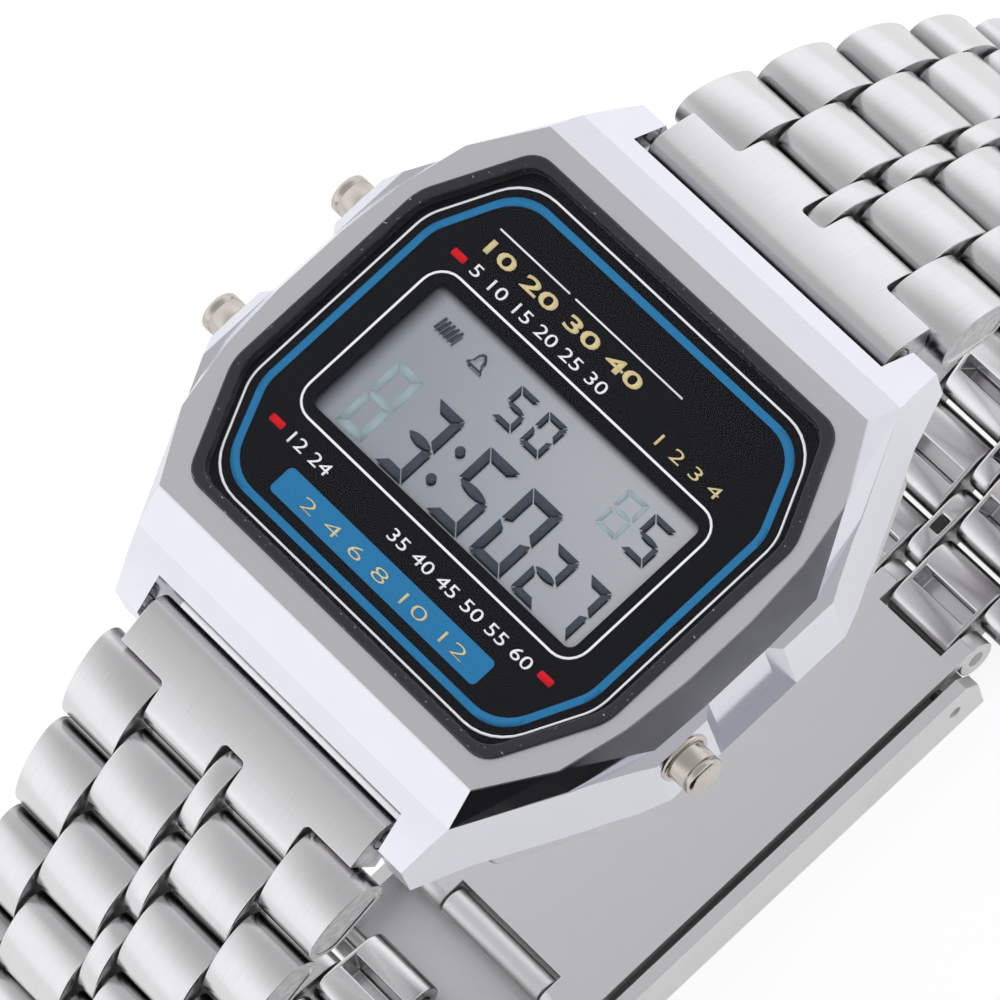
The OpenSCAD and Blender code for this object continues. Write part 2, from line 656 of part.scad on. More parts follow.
// The springs are drawn as short as they are when the buttons are pressed
module button_springs() color([0.6, 0.6, 0.6]) for (p = button_places) at_button(p)
    translate([bore_x, 0, 0]) rotate([0, 90, 0]) coil(button_r - slide_play, button_spring_l, 3);

module button_seals() color([0.1, 0.1, 0.1]) for (p = button_places) at_button(p) difference() {
    bar_x(bore_x - seal_w, bore_x, seal_r, [0, 0]);
    bar_x(bore_x - seal_w - over, bore_x + over, stem_r + slide_play, [0, 0]);
}

module spring_bar(x, r, tip_x, tip_r, p) {
    bar_x(-x, x, r, p);
    for (s = [-tip_x, x]) bar_x(s, s + tip_x - x, tip_r, p);
}

module spring_bars() color([0.65, 0.65, 0.67]) for (y = [-1, 1])
    spring_bar(lug_gap / 2 - end_gap, bar_r, lug_gap / 2 + bar_tip_l, bar_tip_r, [y * bar_span / 2, bar_z]);

// Puts something that is drawn along +Y from [0, 0] at a place of the bracelet
module on_chain(h, place, slope) half(h) translate([0, bar_span / 2 + place[0], bar_z + place[1]])
    rotate([-slope, 0, 0]) children();

end_lean = asin((link_r - end_r) / end_reach);

// Outline of the end piece, as [outwards, upwards] from the spring bar
function end_plate_points() = concat(arc([0, 0], end_r, 90 + end_lean, 270 - end_lean, link_steps),
    [[end_plate_l, -end_height(end_plate_l)], [end_plate_l, end_height(end_plate_l)]]);
function end_height(s) = (end_r + s * sin(end_lean)) / cos(end_lean);
function end_tab_points() = concat(arc([0, 0], end_r, 90 + end_lean, 270 - end_lean, link_steps),
    arc([end_reach, 0], link_r, -90 - end_lean, 90 + end_lean, link_steps));

module end_piece(h) color([0.8, 0.8, 0.82]) on_chain(h, [0, 0], end_slope) difference() {
    union() {
        along_x(-end_w / 2, end_w / 2) polygon(end_plate_points());
        for (c = b_columns) along_x(c[0], c[1]) polygon(end_tab_points());
    }
    bar_x(-end_w, end_w, bar_r + pin_play, [0, 0]);
    bar_x(-end_w, end_w, pin_r + pin_play, [end_reach, 0]);
}

module end_piece_12() end_piece(0);
module end_piece_6() end_piece(1);

// Outline of a link whose pins are at [0, 0] and [row_step, 0], crowned on its outer side
function link_points() = let (
        deep = (pow(row_step / 2, 2) - pow(crown_rise, 2)) / (2 * crown_rise),
        crown_r = link_r + crown_rise + deep,
        lean = atan2(row_step / 2, deep),
        right = arc([row_step, 0], link_r, -90, 90 - lean, link_steps),
        top = arc([row_step / 2, -deep], crown_r, 90 - lean, 90 + lean, link_steps),
        left = arc([0, 0], link_r, 90 + lean, 270, link_steps))
    concat(right, [for (i = [1 : link_steps - 1]) top[i]], left);

// A link between the sides c, hollow between the sides n
module link(c, n, s) translate([0, s, 0]) difference() {
    along_x(c[0], c[1]) polygon(link_points());
    for (p = [0, row_step]) bar_x(c[0] - over, c[1] + over, pin_r + pin_play, [p, 0]);
    translate([n[0] + hollow_side, pin_r + fold_t, -link_r - over])
        cube([n[1] - n[0] - 2 * hollow_side, row_step - 2 * pin_r - 2 * fold_t, link_hollow_h + over]);
}

// Half of the bracelet's width where a unit starts, and at a distance along the unit
function half_w(k) = (bracelet_w - (bracelet_w - bracelet_end_w) * min(k / taper_units, 1)) / 2;
function side_x(k, s) = half_w(k) + (half_w(k + 1) - half_w(k)) * (s + link_r + row_gap / 2) / link_pitch;
function a_columns(w) = [[-w, -outer_x], [-centre_w / 2, centre_w / 2], [outer_x, w]];

module between_sides(k) translate([0, -link_r - row_gap / 2, -bracelet_w / 2]) linear_extrude(bracelet_w)
    polygon([[-half_w(k), 0], [half_w(k), 0], [half_w(k + 1), link_pitch], [-half_w(k + 1), link_pitch]]);

// One pitch of the bracelet: three links, then two, and the pins that hold them together
module link_set(k) color([0.82, 0.82, 0.84]) {
    intersection() {
        union() for (i = [0 : 2]) link(a_columns(bracelet_w)[i], a_columns(half_w(k + 1))[i], 0);
        between_sides(k);
    }
    for (c = b_columns) link(c, c, row_step);
    for (s = [0, row_step]) let (x = side_x(k, s + pin_r) - pin_inset) bar_x(-x, x, pin_r, [s, 0]);
}

module links(h, k) on_chain(h, hinge(k), heading(k)) link_set(k);

// The adjusting holes are in line with the end pin
module clasp_cover() color([0.8, 0.8, 0.82]) difference() {
    along_x(-bracelet_end_w / 2, bracelet_end_w / 2) polygon([[cover_y0, 0], [cover_y1, 0], [cover_y1, cover_h - cover_t],
        [cover_y1 - cover_t, cover_h], [cover_y0 + cover_t, cover_h], [cover_y0, cover_h - cover_t]]);
    along_x(-cover_inner, cover_inner) polygon([[cover_y0 - over, cover_t], [cover_y1 + over, cover_t],
        [cover_y1 + over, cover_h + over], [cover_y0 - over, cover_h + over]]);
    for (i = [0 : adjust_count])
        bar_x(-bracelet_end_w, bracelet_end_w, clasp_bar_tip_r, [-clasp_pin_y + i * adjust_step, clasp_pin_z]);
    bar_x(-bracelet_end_w, bracelet_end_w, cover_pin_r, [cover_hinge_y, cover_hinge_z]);
}

module outer_blade() color([0.75, 0.75, 0.77]) difference() {
    union() {
        along_x(-outer_blade_w / 2, outer_blade_w / 2) blade_plate(fold_y + fold_knuckle_r + blade_gap, cover_hinge_y, cover_hinge_z);
        along_x(-fold_knuckle_w / 2, fold_knuckle_w / 2) blade_plate(fold_y, fold_y + 2 * fold_knuckle_r, cover_hinge_z);
        bar_x(-fold_knuckle_w / 2, fold_knuckle_w / 2, fold_knuckle_r, [fold_y, fold_z]);
        bar_x(-outer_blade_w / 2, outer_blade_w / 2, cover_knuckle_r, [cover_hinge_y, cover_hinge_z]);
    }
    bar_x(-bracelet_end_w, bracelet_end_w, fold_pin_r + pin_play, [fold_y, fold_z]);
    bar_x(-bracelet_end_w, bracelet_end_w, cover_pin_r + pin_play, [cover_hinge_y, cover_hinge_z]);
}

module blade_plate(y0, y1, z) translate([y0, z - blade_t / 2]) square([y1 - y0, blade_t]);

// Fingers of the inner blade, beside the last links' two columns
fingers = [[-inner_blade_w / 2, -outer_x], [-centre_w / 2, centre_w / 2], [outer_x, inner_blade_w / 2]];

module inner_blade() color([0.75, 0.75, 0.77]) difference() {
    union() {
        along_x(-inner_blade_w / 2, inner_blade_w / 2)
            blade_plate(fold_y + fold_knuckle_r + blade_gap, clasp_pin_y - link_r - blade_gap, inner_blade_z);
        for (c = fingers) {
            along_x(c[0], c[1]) blade_plate(clasp_pin_y - link_r - blade_gap - blade_t, clasp_pin_y, inner_blade_z);
            bar_x(c[0], c[1], finger_r, [clasp_pin_y, clasp_pin_z]);
        }
        for (s = [-1, 1]) mirror([s < 0 ? 1 : 0, 0, 0]) {
            along_x(fold_knuckle_w / 2 + column_gap, inner_blade_w / 2)
                blade_plate(fold_y, fold_y + 2 * fold_knuckle_r, inner_blade_z);
            bar_x(fold_knuckle_w / 2 + column_gap, inner_blade_w / 2, fold_knuckle_r, [fold_y, fold_z]);
        }
    }
    bar_x(-bracelet_end_w, bracelet_end_w, fold_pin_r, [fold_y, fold_z]);
    bar_x(-bracelet_end_w, bracelet_end_w, pin_r, [clasp_pin_y, clasp_pin_z]);
}

module blade_pins() color([0.6, 0.6, 0.62]) {
    bar_x(-inner_blade_w / 2, inner_blade_w / 2, fold_pin_r, [fold_y, fold_z]);
    bar_x(-inner_blade_w / 2, inner_blade_w / 2, pin_r, [clasp_pin_y, clasp_pin_z]);
}

module cover_pin() color([0.6, 0.6, 0.62])
    bar_x(cover_pin_inset - bracelet_end_w / 2, bracelet_end_w / 2 - cover_pin_inset, cover_pin_r, [cover_hinge_y, cover_hinge_z]);

module clasp_bar() color([0.65, 0.65, 0.67]) spring_bar(cover_inner - pin_play, pin_r,
    bracelet_end_w / 2 - cover_pin_inset, clasp_bar_tip_r, [-clasp_pin_y, clasp_pin_z]);

case_body();
crystal();
crystal_gasket();
dial_print();
lcd_glass();
light_guide();
light_lamp();
contact_strips();
module_frame();
circuit_board();
circuit_parts();
switch_contacts();
coin_cell();
cell_strap();
buzzer_disc();
buzzer_spring();
back_gasket();
case_back();
back_screws();
light_button();
mode_button();
start_button();
light_clip();
mode_clip();
start_clip();
button_springs();
button_seals();
spring_bars();
end_piece_12();
end_piece_6();
for (h = [0, 1], k = [0 : units - 1])
    links(h, k);
clasp_cover();
outer_blade();
inner_blade();
blade_pins();
cover_pin();
clasp_bar();
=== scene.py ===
# A digital wristwatch on a steel bracelet: its looks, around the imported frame
import json
import math

import bmesh
import bpy
from mathutils import Matrix, Vector

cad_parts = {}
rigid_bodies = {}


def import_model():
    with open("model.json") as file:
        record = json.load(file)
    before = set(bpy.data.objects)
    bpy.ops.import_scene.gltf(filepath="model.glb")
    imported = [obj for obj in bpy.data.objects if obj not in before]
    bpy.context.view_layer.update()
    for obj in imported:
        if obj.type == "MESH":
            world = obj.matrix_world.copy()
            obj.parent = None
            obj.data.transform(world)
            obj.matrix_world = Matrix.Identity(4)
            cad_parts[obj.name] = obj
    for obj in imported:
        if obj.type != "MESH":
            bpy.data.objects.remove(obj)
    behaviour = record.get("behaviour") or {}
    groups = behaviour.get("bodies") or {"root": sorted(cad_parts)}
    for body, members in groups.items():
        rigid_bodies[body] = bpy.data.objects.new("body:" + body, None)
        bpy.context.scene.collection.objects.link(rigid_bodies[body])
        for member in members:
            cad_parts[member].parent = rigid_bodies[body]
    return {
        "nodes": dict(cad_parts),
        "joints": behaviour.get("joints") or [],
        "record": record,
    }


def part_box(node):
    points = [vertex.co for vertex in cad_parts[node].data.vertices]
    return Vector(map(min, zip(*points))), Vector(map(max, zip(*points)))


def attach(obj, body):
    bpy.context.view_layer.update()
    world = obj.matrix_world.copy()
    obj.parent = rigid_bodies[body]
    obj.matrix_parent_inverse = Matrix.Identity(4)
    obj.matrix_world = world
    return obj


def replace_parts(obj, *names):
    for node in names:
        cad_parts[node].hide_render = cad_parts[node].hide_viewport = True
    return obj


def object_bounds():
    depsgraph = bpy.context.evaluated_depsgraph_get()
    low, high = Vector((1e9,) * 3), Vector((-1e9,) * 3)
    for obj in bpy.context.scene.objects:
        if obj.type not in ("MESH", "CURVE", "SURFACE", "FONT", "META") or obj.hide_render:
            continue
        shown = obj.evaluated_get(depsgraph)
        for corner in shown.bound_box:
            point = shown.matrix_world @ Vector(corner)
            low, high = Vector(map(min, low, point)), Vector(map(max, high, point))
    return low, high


for leftover in list(bpy.data.objects):
    bpy.data.objects.remove(leftover)
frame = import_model()
frameBox = [list(corner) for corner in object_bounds()]
mm = 0.001
nodes = frame["nodes"]
scene = bpy.context.scene
bodies = frame["record"]["behaviour"]["bodies"]
bodyOf = {node: body for body, members in bodies.items() for node in members}
slotOf = {part["node"]: part["material_slot"] for part in frame["record"]["subparts"]}
jointAt = {joint["name"]: Vector(joint["pos_m"]) for joint in frame["joints"] if "pos_m" in joint}
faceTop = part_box("case_body")[1].z  # the flat face round the crystal
print("frame loaded:", len(nodes), "nodes")


# Shader and geometry graphs

class Signal:
    def __init__(self, graph, socket):
        self.graph = graph
        self.socket = socket

    def sum(self, kind, *others):
        return self.graph.add("ShaderNodeMath", {"operation": kind}, dict(enumerate([self, *others])))

    def __add__(self, other):
        return self.sum("ADD", other)

    def __mul__(self, other):
        return self.sum("MULTIPLY", other)

    def __rsub__(self, other):
        return self.graph.add("ShaderNodeMath", {"operation": "SUBTRACT"}, {0: other, 1: self})

    __radd__ = __add__
    __rmul__ = __mul__


class Graph:
    def __init__(self, tree):
        self.tree = tree

    def add(self, kind, settings=None, values=None, out=0):
        made = self.tree.nodes.new(kind)
        for key, value in (settings or {}).items():
            setattr(made, key, value)
        for key, value in (values or {}).items():
            if isinstance(value, Signal):
                self.tree.links.new(value.socket, made.inputs[key])
            elif value is not None:
                made.inputs[key].default_value = value
        return Signal(self, made.outputs[out]) if len(made.outputs) else made

    def point(self, sizes):  # object coordinates, counted in features of the given sizes in mm
        here = self.add("ShaderNodeTexCoord", out="Object")
        return self.add("ShaderNodeVectorMath", {"operation": "MULTIPLY"},
                        {0: here, 1: [1 / (size * mm) for size in sizes]})

    def axis(self, letter):  # one object coordinate, in mm
        here = self.add("ShaderNodeTexCoord", out="Object")
        return self.add("ShaderNodeSeparateXYZ", None, {0: here}, letter) * (1 / mm)

    def noise(self, sizes, detail=3.0, contrast=None):
        made = self.add("ShaderNodeTexNoise", None,
                        {"Vector": self.point(sizes), "Scale": 1.0, "Detail": detail})
        return made if contrast is None else self.step(made, 0.5 - contrast, 0.5 + contrast)

    def step(self, value, low, high, first=0.0, last=1.0):
        return self.add("ShaderNodeMapRange", {"interpolation_type": "SMOOTHSTEP"},
                        {0: value, 1: low, 2: high, 3: first, 4: last})

    def mix(self, share, first, last):
        return self.add("ShaderNodeMix", {"data_type": "RGBA"}, {0: share, 6: first, 7: last}, 2)

    def bump(self, height, depth):  # depth in mm
        return self.add("ShaderNodeBump", None, {"Strength": 1.0, "Distance": depth * mm, "Height": height})


def srgb(code):
    parts = [int(code[i:i + 2], 16) / 255 for i in (0, 2, 4)]
    return [*[c / 12.92 if c < 0.04045 else ((c + 0.055) / 1.055) ** 2.4 for c in parts], 1]


def newMaterial(name, build, **values):
    made = bpy.data.materials.new(name)
    made.use_nodes = True
    graph = Graph(made.node_tree)
    shader = made.node_tree.nodes["Principled BSDF"]
    for key, value in {**values, **build(graph)}.items():
        if isinstance(value, Signal):
            graph.tree.links.new(value.socket, shader.inputs[key])
        else:
            shader.inputs[key].default_value = value
    return made


# Finishes of the case, the bracelet and the clasp

metalTones = {
    "satinFace": "D9D8DC", "polished": "DDDEE6", "brushed": "E2E0E1", "brushedDark": "B9B8BA",
    # 38383A is the colour of painted shade in the gaps between links
    "gapShade": "38383A", "cutEdge": "A4A4A6", "clasp": "ECEBEC", "nickel": "D0C8C0", "turnedDark": "8F8B86",
    "backSteel": "C9C9CC", "wire": "B4B3B2", "brass": "CDA75A", "cell": "CFCFD1"}


def caseFinish(g):
    face = g.step(g.axis("Z"), faceTop / mm - 0.12, faceTop / mm - 0.04)
    haze = g.noise((1.6, 1.6, 1.6))
    scuff = g.noise((0.05, 0.9, 0.3), 2.0, 0.12)
    fine = g.noise((0.045, 0.045, 0.045), 1.0)
    tone = g.mix(face, srgb(metalTones["polished"]), srgb(metalTones["satinFace"]))
    return {
        "Base Color": g.mix(haze * 0.25, tone, srgb(metalTones["backSteel"])),
        "Roughness": face * 0.2 + 0.13 + haze * 0.05 + scuff * 0.02,
        "Normal": g.bump(fine, 0.0006)}


def brushedFinish(tone, dark, rough, across=0.07, length=3.0, sides=0.0):  # sizes of the lines in mm
    def build(g):
        line = g.noise((across, length, length), 4.0)
        cloud = g.noise((1.4, 1.4, 1.4), 2.0)
        pit = g.noise((0.11, 0.16, 0.16), 2.0, 0.1)
        normal = g.add("ShaderNodeNewGeometry", out="Normal")
        facing = g.add("ShaderNodeSeparateXYZ", None, {0: normal}, "X")
        side = g.step(facing * facing, 0.75, 0.95) * sides
        cut = g.noise((0.5, 0.5, 0.3), 5.0, 0.2)
        # painted shade: a per-point attribute darkens the links where they lie in the gaps between one
        # another
        gapShade = g.add("ShaderNodeAttribute", {"attribute_name": "gapShade"}, None, "Fac")
        face = g.mix(line * 0.25 + cloud * 0.15, srgb(metalTones[tone]), srgb(metalTones[dark]))
        face = g.mix(gapShade * (1 - side) * 0.85, face, srgb(metalTones["gapShade"]))
        return {
            "Base Color": g.mix(side * (cut * 0.5 + 0.5), face, srgb(metalTones["cutEdge"])),
            "Roughness": line * 0.06 + cloud * 0.06 + pit * 0.02 + side * 0.14 + (rough - 0.06),
            "Normal": g.bump(line * 0.7 + pit * 0.3 + side * cut * 3.0, 0.0014)}
    return build


def turnedFinish(tone, rough):
    def build(g):
        line = g.noise((0.9, 0.05, 0.05), 2.0)
        cloud = g.noise((1.1, 1.1, 1.1), 2.0)
        return {
            "Base Color": g.mix(cloud * 0.5, srgb(metalTones[tone]), srgb(metalTones["turnedDark"])),
            "Roughness": line * 0.08 + cloud * 0.1 + rough,
            "Normal": g.bump(line, 0.0008)}
    return build


def rubberFinish(tone, worn):
    def build(g):
        grain = g.noise((0.12, 0.12, 0.12), 3.0)
        wear = g.step(g.noise((0.3, 0.22, 0.3), 4.0), 0.66, 0.72)
        return {
            "Base Color": g.mix(wear, srgb(tone), srgb(worn)),
            "Roughness": grain * 0.1 + 0.26 + wear * 0.2,
            "Normal": g.bump(grain, 0.0015)}
    return build


def mouldedFinish(tone, rough, spread=0.12):
    def build(g):
        grain = g.noise((0.08, 0.08, 0.08), 2.0)
        cloud = g.noise((3.0, 3.0, 3.0), 2.0)
        base = srgb(tone)
        return {
            "Base Color": g.mix(cloud, [c * (1 - spread) for c in base[:3]] + [1], base),
            "Roughness": grain * 0.12 + rough,
            "Normal": g.bump(grain, 0.002)}
    return build


def printFinish(tone, rough=0.45):
    def build(g):
        speck = g.noise((0.05, 0.05, 0.05), 2.0, 0.2)
        base = srgb(tone)
        return {
            "Base Color": g.mix(speck * 0.5, base, [c * 0.86 for c in base[:3]] + [1]),
            "Roughness": speck * 0.1 + rough}
    return build


# edge is the colour of the window's painted shadow, shade and topShade its widths
display = {"left": -9.8, "top": 3.97, "shade": 1.25, "topShade": 0.5, "slope": (-14.0, 12.0),
           "light": "AEB1B6", "dark": "8E929A", "edge": "1E2029"}

def displayFinish(g):  # lighter towards one corner, with the window's shadow on two sides
    x, y = g.axis("X"), g.axis("Y")
    left = g.step(x, display["left"] - 0.2, display["left"] + display["shade"])
    top = g.step(y, display["top"] + 0.15, display["top"] - display["topShade"])
    slope = g.step(x + y, *display["slope"])
    cloud = g.noise((6.0, 6.0, 6.0), 1.0)
    glass = g.mix(slope * 0.8 + cloud * 0.2, srgb(display["dark"]), srgb(display["light"]))
    return {
        "Base Color": g.mix(left * top, srgb(display["edge"]), glass),
        "Roughness": cloud * 0.05 + 0.3}


def boardFinish(g):
    track = g.add("ShaderNodeTexBrick", {"offset": 0.5}, {
        "Vector": g.point((1.0, 1.0, 1.0)), "Scale": 1.1, "Mortar Size": 0.06,
        "Color1": srgb("1F5B3A"), "Color2": srgb("246643"), "Mortar": srgb("3C8A5E")})
    return {"Base Color": track, "Roughness": g.noise((0.5, 0.5, 0.5)) * 0.1 + 0.35}


def stripeFinish(g):  # conducting and plain layers in turn
    stripe = g.add("ShaderNodeTexWave", {"wave_type": "BANDS", "bands_direction": "X"},
                   {"Vector": g.point((0.4, 0.4, 0.4)), "Scale": 0.5}, 1)
    return {"Base Color": g.mix(g.step(stripe, 0.4, 0.6), srgb("1C1C1E"), srgb("B9B6AE")),
            "Roughness": g.noise((0.2, 0.2, 0.2)) * 0.1 + 0.6}


crystal = {"index": 1.5, "shine": 0.18, "edge": 0.1, "inkRoom": 0.06}


def crystalFinish(g):  # clear, apart from what it reflects
    shine = g.add("ShaderNodeFresnel", None, {"IOR": crystal["index"]})
    smear = g.noise((4.0, 4.0, 4.0), 2.0)
    return {"Alpha": shine * crystal["shine"], "Roughness": smear * 0.02 + 0.015}


def paintedShadowFinish(tone, alpha):  # a see-through dark sheet, a painted shadow over what lies under it
    def build(g):
        speck = g.noise((0.6, 0.6, 0.6), 2.0)
        return {"Base Color": srgb(tone), "Alpha": speck * 0.02 + (alpha - 0.01)}
    return build


finishes = {
    "case_metal": newMaterial("caseMetal", caseFinish, Metallic=1.0),
    "bracelet_steel": newMaterial(
        "braceletSteel", brushedFinish("brushed", "brushedDark", 0.22, sides=1.0), Metallic=1.0),
    "clasp_steel": newMaterial(
        "claspSteel", brushedFinish("clasp", "brushed", 0.45, 0.09, 5.0), Metallic=1.0),
    "back_steel": newMaterial(
        "backSteel", brushedFinish("backSteel", "brushedDark", 0.32, 0.1, 9.0), Metallic=1.0),
    "button_metal": newMaterial("buttonNickel", turnedFinish("nickel", 0.12), Metallic=1.0),
    "screw_steel": newMaterial("screwSteel", turnedFinish("wire", 0.22), Metallic=1.0),
    "spring_steel": newMaterial("springSteel", turnedFinish("wire", 0.28), Metallic=1.0),
    "contact_metal": newMaterial("contactBrass", turnedFinish("brass", 0.25), Metallic=1.0),
    "cell_steel": newMaterial("cellSteel", turnedFinish("cell", 0.2), Metallic=1.0),
    "gasket": newMaterial("gasketRubber", rubberFinish("202023", "A0A0A4")),
    "seal_rubber": newMaterial("sealRubber", rubberFinish("0E0E0F", "2C2C2E")),
    "contact_rubber": newMaterial("contactRubber", stripeFinish),
    "dial": newMaterial("dialBlack", printFinish("111217", 0.35), **{"Specular IOR Level": 0.05}),
    "display": newMaterial("displayGlass", displayFinish, **{"Specular IOR Level": 0.1}),
    "light_guide": newMaterial("lightGuide", mouldedFinish("E9E9E2", 0.25)),
    "lamp": newMaterial("lampResin", mouldedFinish("E4D9A0", 0.2)),
    "module_plastic": newMaterial("modulePlastic", mouldedFinish("2A2A2D", 0.5)),
    "board": newMaterial("circuitBoard", boardFinish),
    "chips": newMaterial("chipResin", mouldedFinish("131314", 0.4)),
    "face_glass": newMaterial("crystalGlass", crystalFinish, Metallic=1.0)}
matt = {"Specular IOR Level": 0.08}
inks = {
    "white": newMaterial("whiteInk", printFinish("F6F6F8"), **matt),
    "blue": newMaterial("blueInk", printFinish("2878AA"), **matt),
    "gold": newMaterial("goldInk", printFinish("DCCB98"), **matt),
    "red": newMaterial("redInk", printFinish("DC1624"), **matt),
    "digit": newMaterial("digitCrystal", printFinish("454C57", 0.5), **matt),
    "shadow": newMaterial("digitShadow", paintedShadowFinish("6B727C", 0.045), **matt),
    "ghost": newMaterial("ghostCrystal", printFinish("9DB0B6", 0.5), **matt)}
for node, item in nodes.items():
    item.data.materials.clear()
    item.data.materials.append(finishes[slotOf[node]])
print("finishes made:", len(finishes) + len(inks))


# Ways to make a mesh

def looseObject(name, bm):
    mesh = bpy.data.meshes.new(name)
    bm.to_mesh(mesh)
    bm.free()
    obj = bpy.data.objects.new(name, mesh)
    scene.collection.objects.link(obj)
    return obj


def plainMesh(obj):  # the evaluated shape as a mesh of its own, with no modifiers left
    bpy.context.view_layer.update()
    made = bpy.data.meshes.new_from_object(obj.evaluated_get(bpy.context.evaluated_depsgraph_get()))
    obj.modifiers.clear()
    return made


def roundEdges(obj, width, segments, angle):
    edge = obj.modifiers.new("edges", "BEVEL")
    edge.width = width * mm
    edge.segments = segments
    edge.limit_method = "ANGLE"
    edge.angle_limit = math.radians(angle)


def cutAway(obj, tool):
    cut = obj.modifiers.new("cut", "BOOLEAN")
    cut.object = tool
    cut.operation = "DIFFERENCE"
    cut.solver = "EXACT"


def newPiece(name, bm, body, finish, slot, bevel=0.0, segments=3, angle=32):
    obj = looseObject(name, bm)
    obj.data.shade_smooth()
    if bevel:
        roundEdges(obj, bevel, segments, angle)
    obj.modifiers.new("flats", "WEIGHTED_NORMAL")
    obj.data = plainMesh(obj)
    obj.data.name = name
    obj.data.materials.clear()
    obj.data.materials.append(finish)
    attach(obj, body)
    return obj


def dressed(name, node, bevel, segments=3, angle=32, edit=None):  # a copy of a node with finished edges
    bm = bmesh.new()
    bm.from_mesh(nodes[node].data)
    bmesh.ops.remove_doubles(bm, verts=bm.verts, dist=0.002 * mm)
    bmesh.ops.dissolve_limit(bm, angle_limit=math.radians(0.6), verts=bm.verts, edges=bm.edges)
    if edit:
        edit(bm)
    slot = slotOf[node]
    obj = newPiece(name, bm, bodyOf[node], finishes[slot], slot, bevel, segments, angle)
    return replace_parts(obj, node)


def arc(centre, radius, first, last, steps):
    turns = [math.radians(first + (last - first) * i / steps) for i in range(steps + 1)]
    return [(centre[0] + radius * math.cos(t), centre[1] + radius * math.sin(t)) for t in turns]


def roundedOutline(points, radius, steps=6):  # an anticlockwise outline with its corners rounded
    made = []
    for i, point in enumerate(points):
        b = Vector(point)
        u = (Vector(points[i - 1]) - b).normalized()
        v = (Vector(points[(i + 1) % len(points)]) - b).normalized()
        half = math.acos(max(-1, min(1, u.dot(v)))) / 2
        centre = b + (u + v).normalized() * (radius / math.sin(half))
        start = b + u * (radius / math.tan(half)) - centre
        first = math.degrees(math.atan2(start.y, start.x))
        made += arc(centre, radius, first, first + 180 - 2 * math.degrees(half), steps)
    return made


def skin(bm, rows, ring=False):  # faces between rows of points, closed by two caps or into a ring
    rows = [[bm.verts.new(point) for point in row] for row in rows]
    for row, after in zip(rows, rows[1:] + rows[:1] if ring else rows[1:]):
        for i in range(len(row)):
            j = (i + 1) % len(row)
            bm.faces.new((row[i], row[j], after[j], after[i]))
    return [] if ring else [bm.faces.new(rows[0][::-1]), bm.faces.new(rows[-1])]


def prism(bm, outline, low, high):  # an outline in mm, drawn up between two heights in metres
    skin(bm, [[(x * mm, y * mm, z) for x, y in outline] for z in (low, high)])


def ringPrism(bm, outer, inner, low, high):  # two outlines of as many points
    lines = ((outer, low), (outer, high), (inner, high), (inner, low))
    skin(bm, [[(x * mm, y * mm, z) for x, y in line] for line, z in lines], ring=True)


def beam(bm, outline, ends):  # [y, z] in mm, between two ends that give x in mm for each y
    caps = skin(bm, [[(x(y) * mm, y * mm, z * mm) for y, z in outline] for x in ends])
    bmesh.ops.recalc_face_normals(bm, faces=bm.faces)
    return caps


def lathe(bm, profile, place=Vector(), turn=Matrix.Identity(3), sides=48):  # [x, radius] in mm, about X
    turns = [2 * math.pi * i / sides for i in range(sides)]
    skin(bm, [[place + turn @ Vector((x, r * math.cos(a), r * math.sin(a))) * mm for a in turns]
              for x, r in profile])


# The case, its back and its gaskets

caseEdges = {"case": 0.11, "caseAngle": 9, "back": 0.1, "gasket": 0.16, "dial": 0.03, "bars": 0.08}


def liftUnderside(bm):  # room for the inks under the glass
    low, room = min(v.co.z for v in bm.verts), crystal["inkRoom"] * mm
    for v in bm.verts:
        if v.co.z < low + room:
            v.co.z += room


dressed("caseShell", "case_body", caseEdges["case"], angle=caseEdges["caseAngle"])
dressed("caseBackPlate", "case_back", caseEdges["back"])
dressed("crystalGasket", "crystal_gasket", caseEdges["gasket"])
dressed("crystalPlate", "crystal", crystal["edge"], edit=liftUnderside)
dressed("dialFace", "dial_print", caseEdges["dial"])
dressed("springBars", "spring_bars", caseEdges["bars"], 2)
print("case dressed")

# The buttons, and the collars that they slide in

button = {"radius": 1.15, "head": 3.35, "stem": 0.5, "chamfer": 0.2, "underEdge": 0.05,
          "groove": 0.05, "grooveAt": 0.5, "grooveWidth": 0.12, "pole": 0.05, "standsOut": 1.7,
          "play": 0.05, "collar": 0.32, "collarOut": 0.16, "collarDeep": 0.5, "collarEdge": 0.06}


def buttonProfile(low, end):  # the stem, the head with its groove and the rounded face
    r, c, stem, under, pole = (button[key] for key in ("radius", "chamfer", "stem", "underEdge", "pole"))
    wide, deep = button["grooveWidth"], button["groove"]
    head, at = end - button["head"], end - button["grooveAt"]
    return [(low, pole), (low, stem), (head, stem), (head, r - under), (head + under, r),
            (at - wide, r), (at - wide * 0.6, r - deep), (at - wide * 0.4, r - deep), (at, r),
            (end - c, r), (end - c * 0.55, r - c * 0.25), (end - c * 0.2, r - c * 0.65), (end, r - c * 1.4),
            (end, pole)]


def collarProfile(wall):
    inner, outer = button["radius"] + button["play"], button["radius"] + button["collar"]
    low, high, edge = wall - button["collarDeep"], wall + button["collarOut"], button["collarEdge"]
    return [(low, inner), (low, outer), (high - edge, outer), (high, outer - edge), (high, inner)]


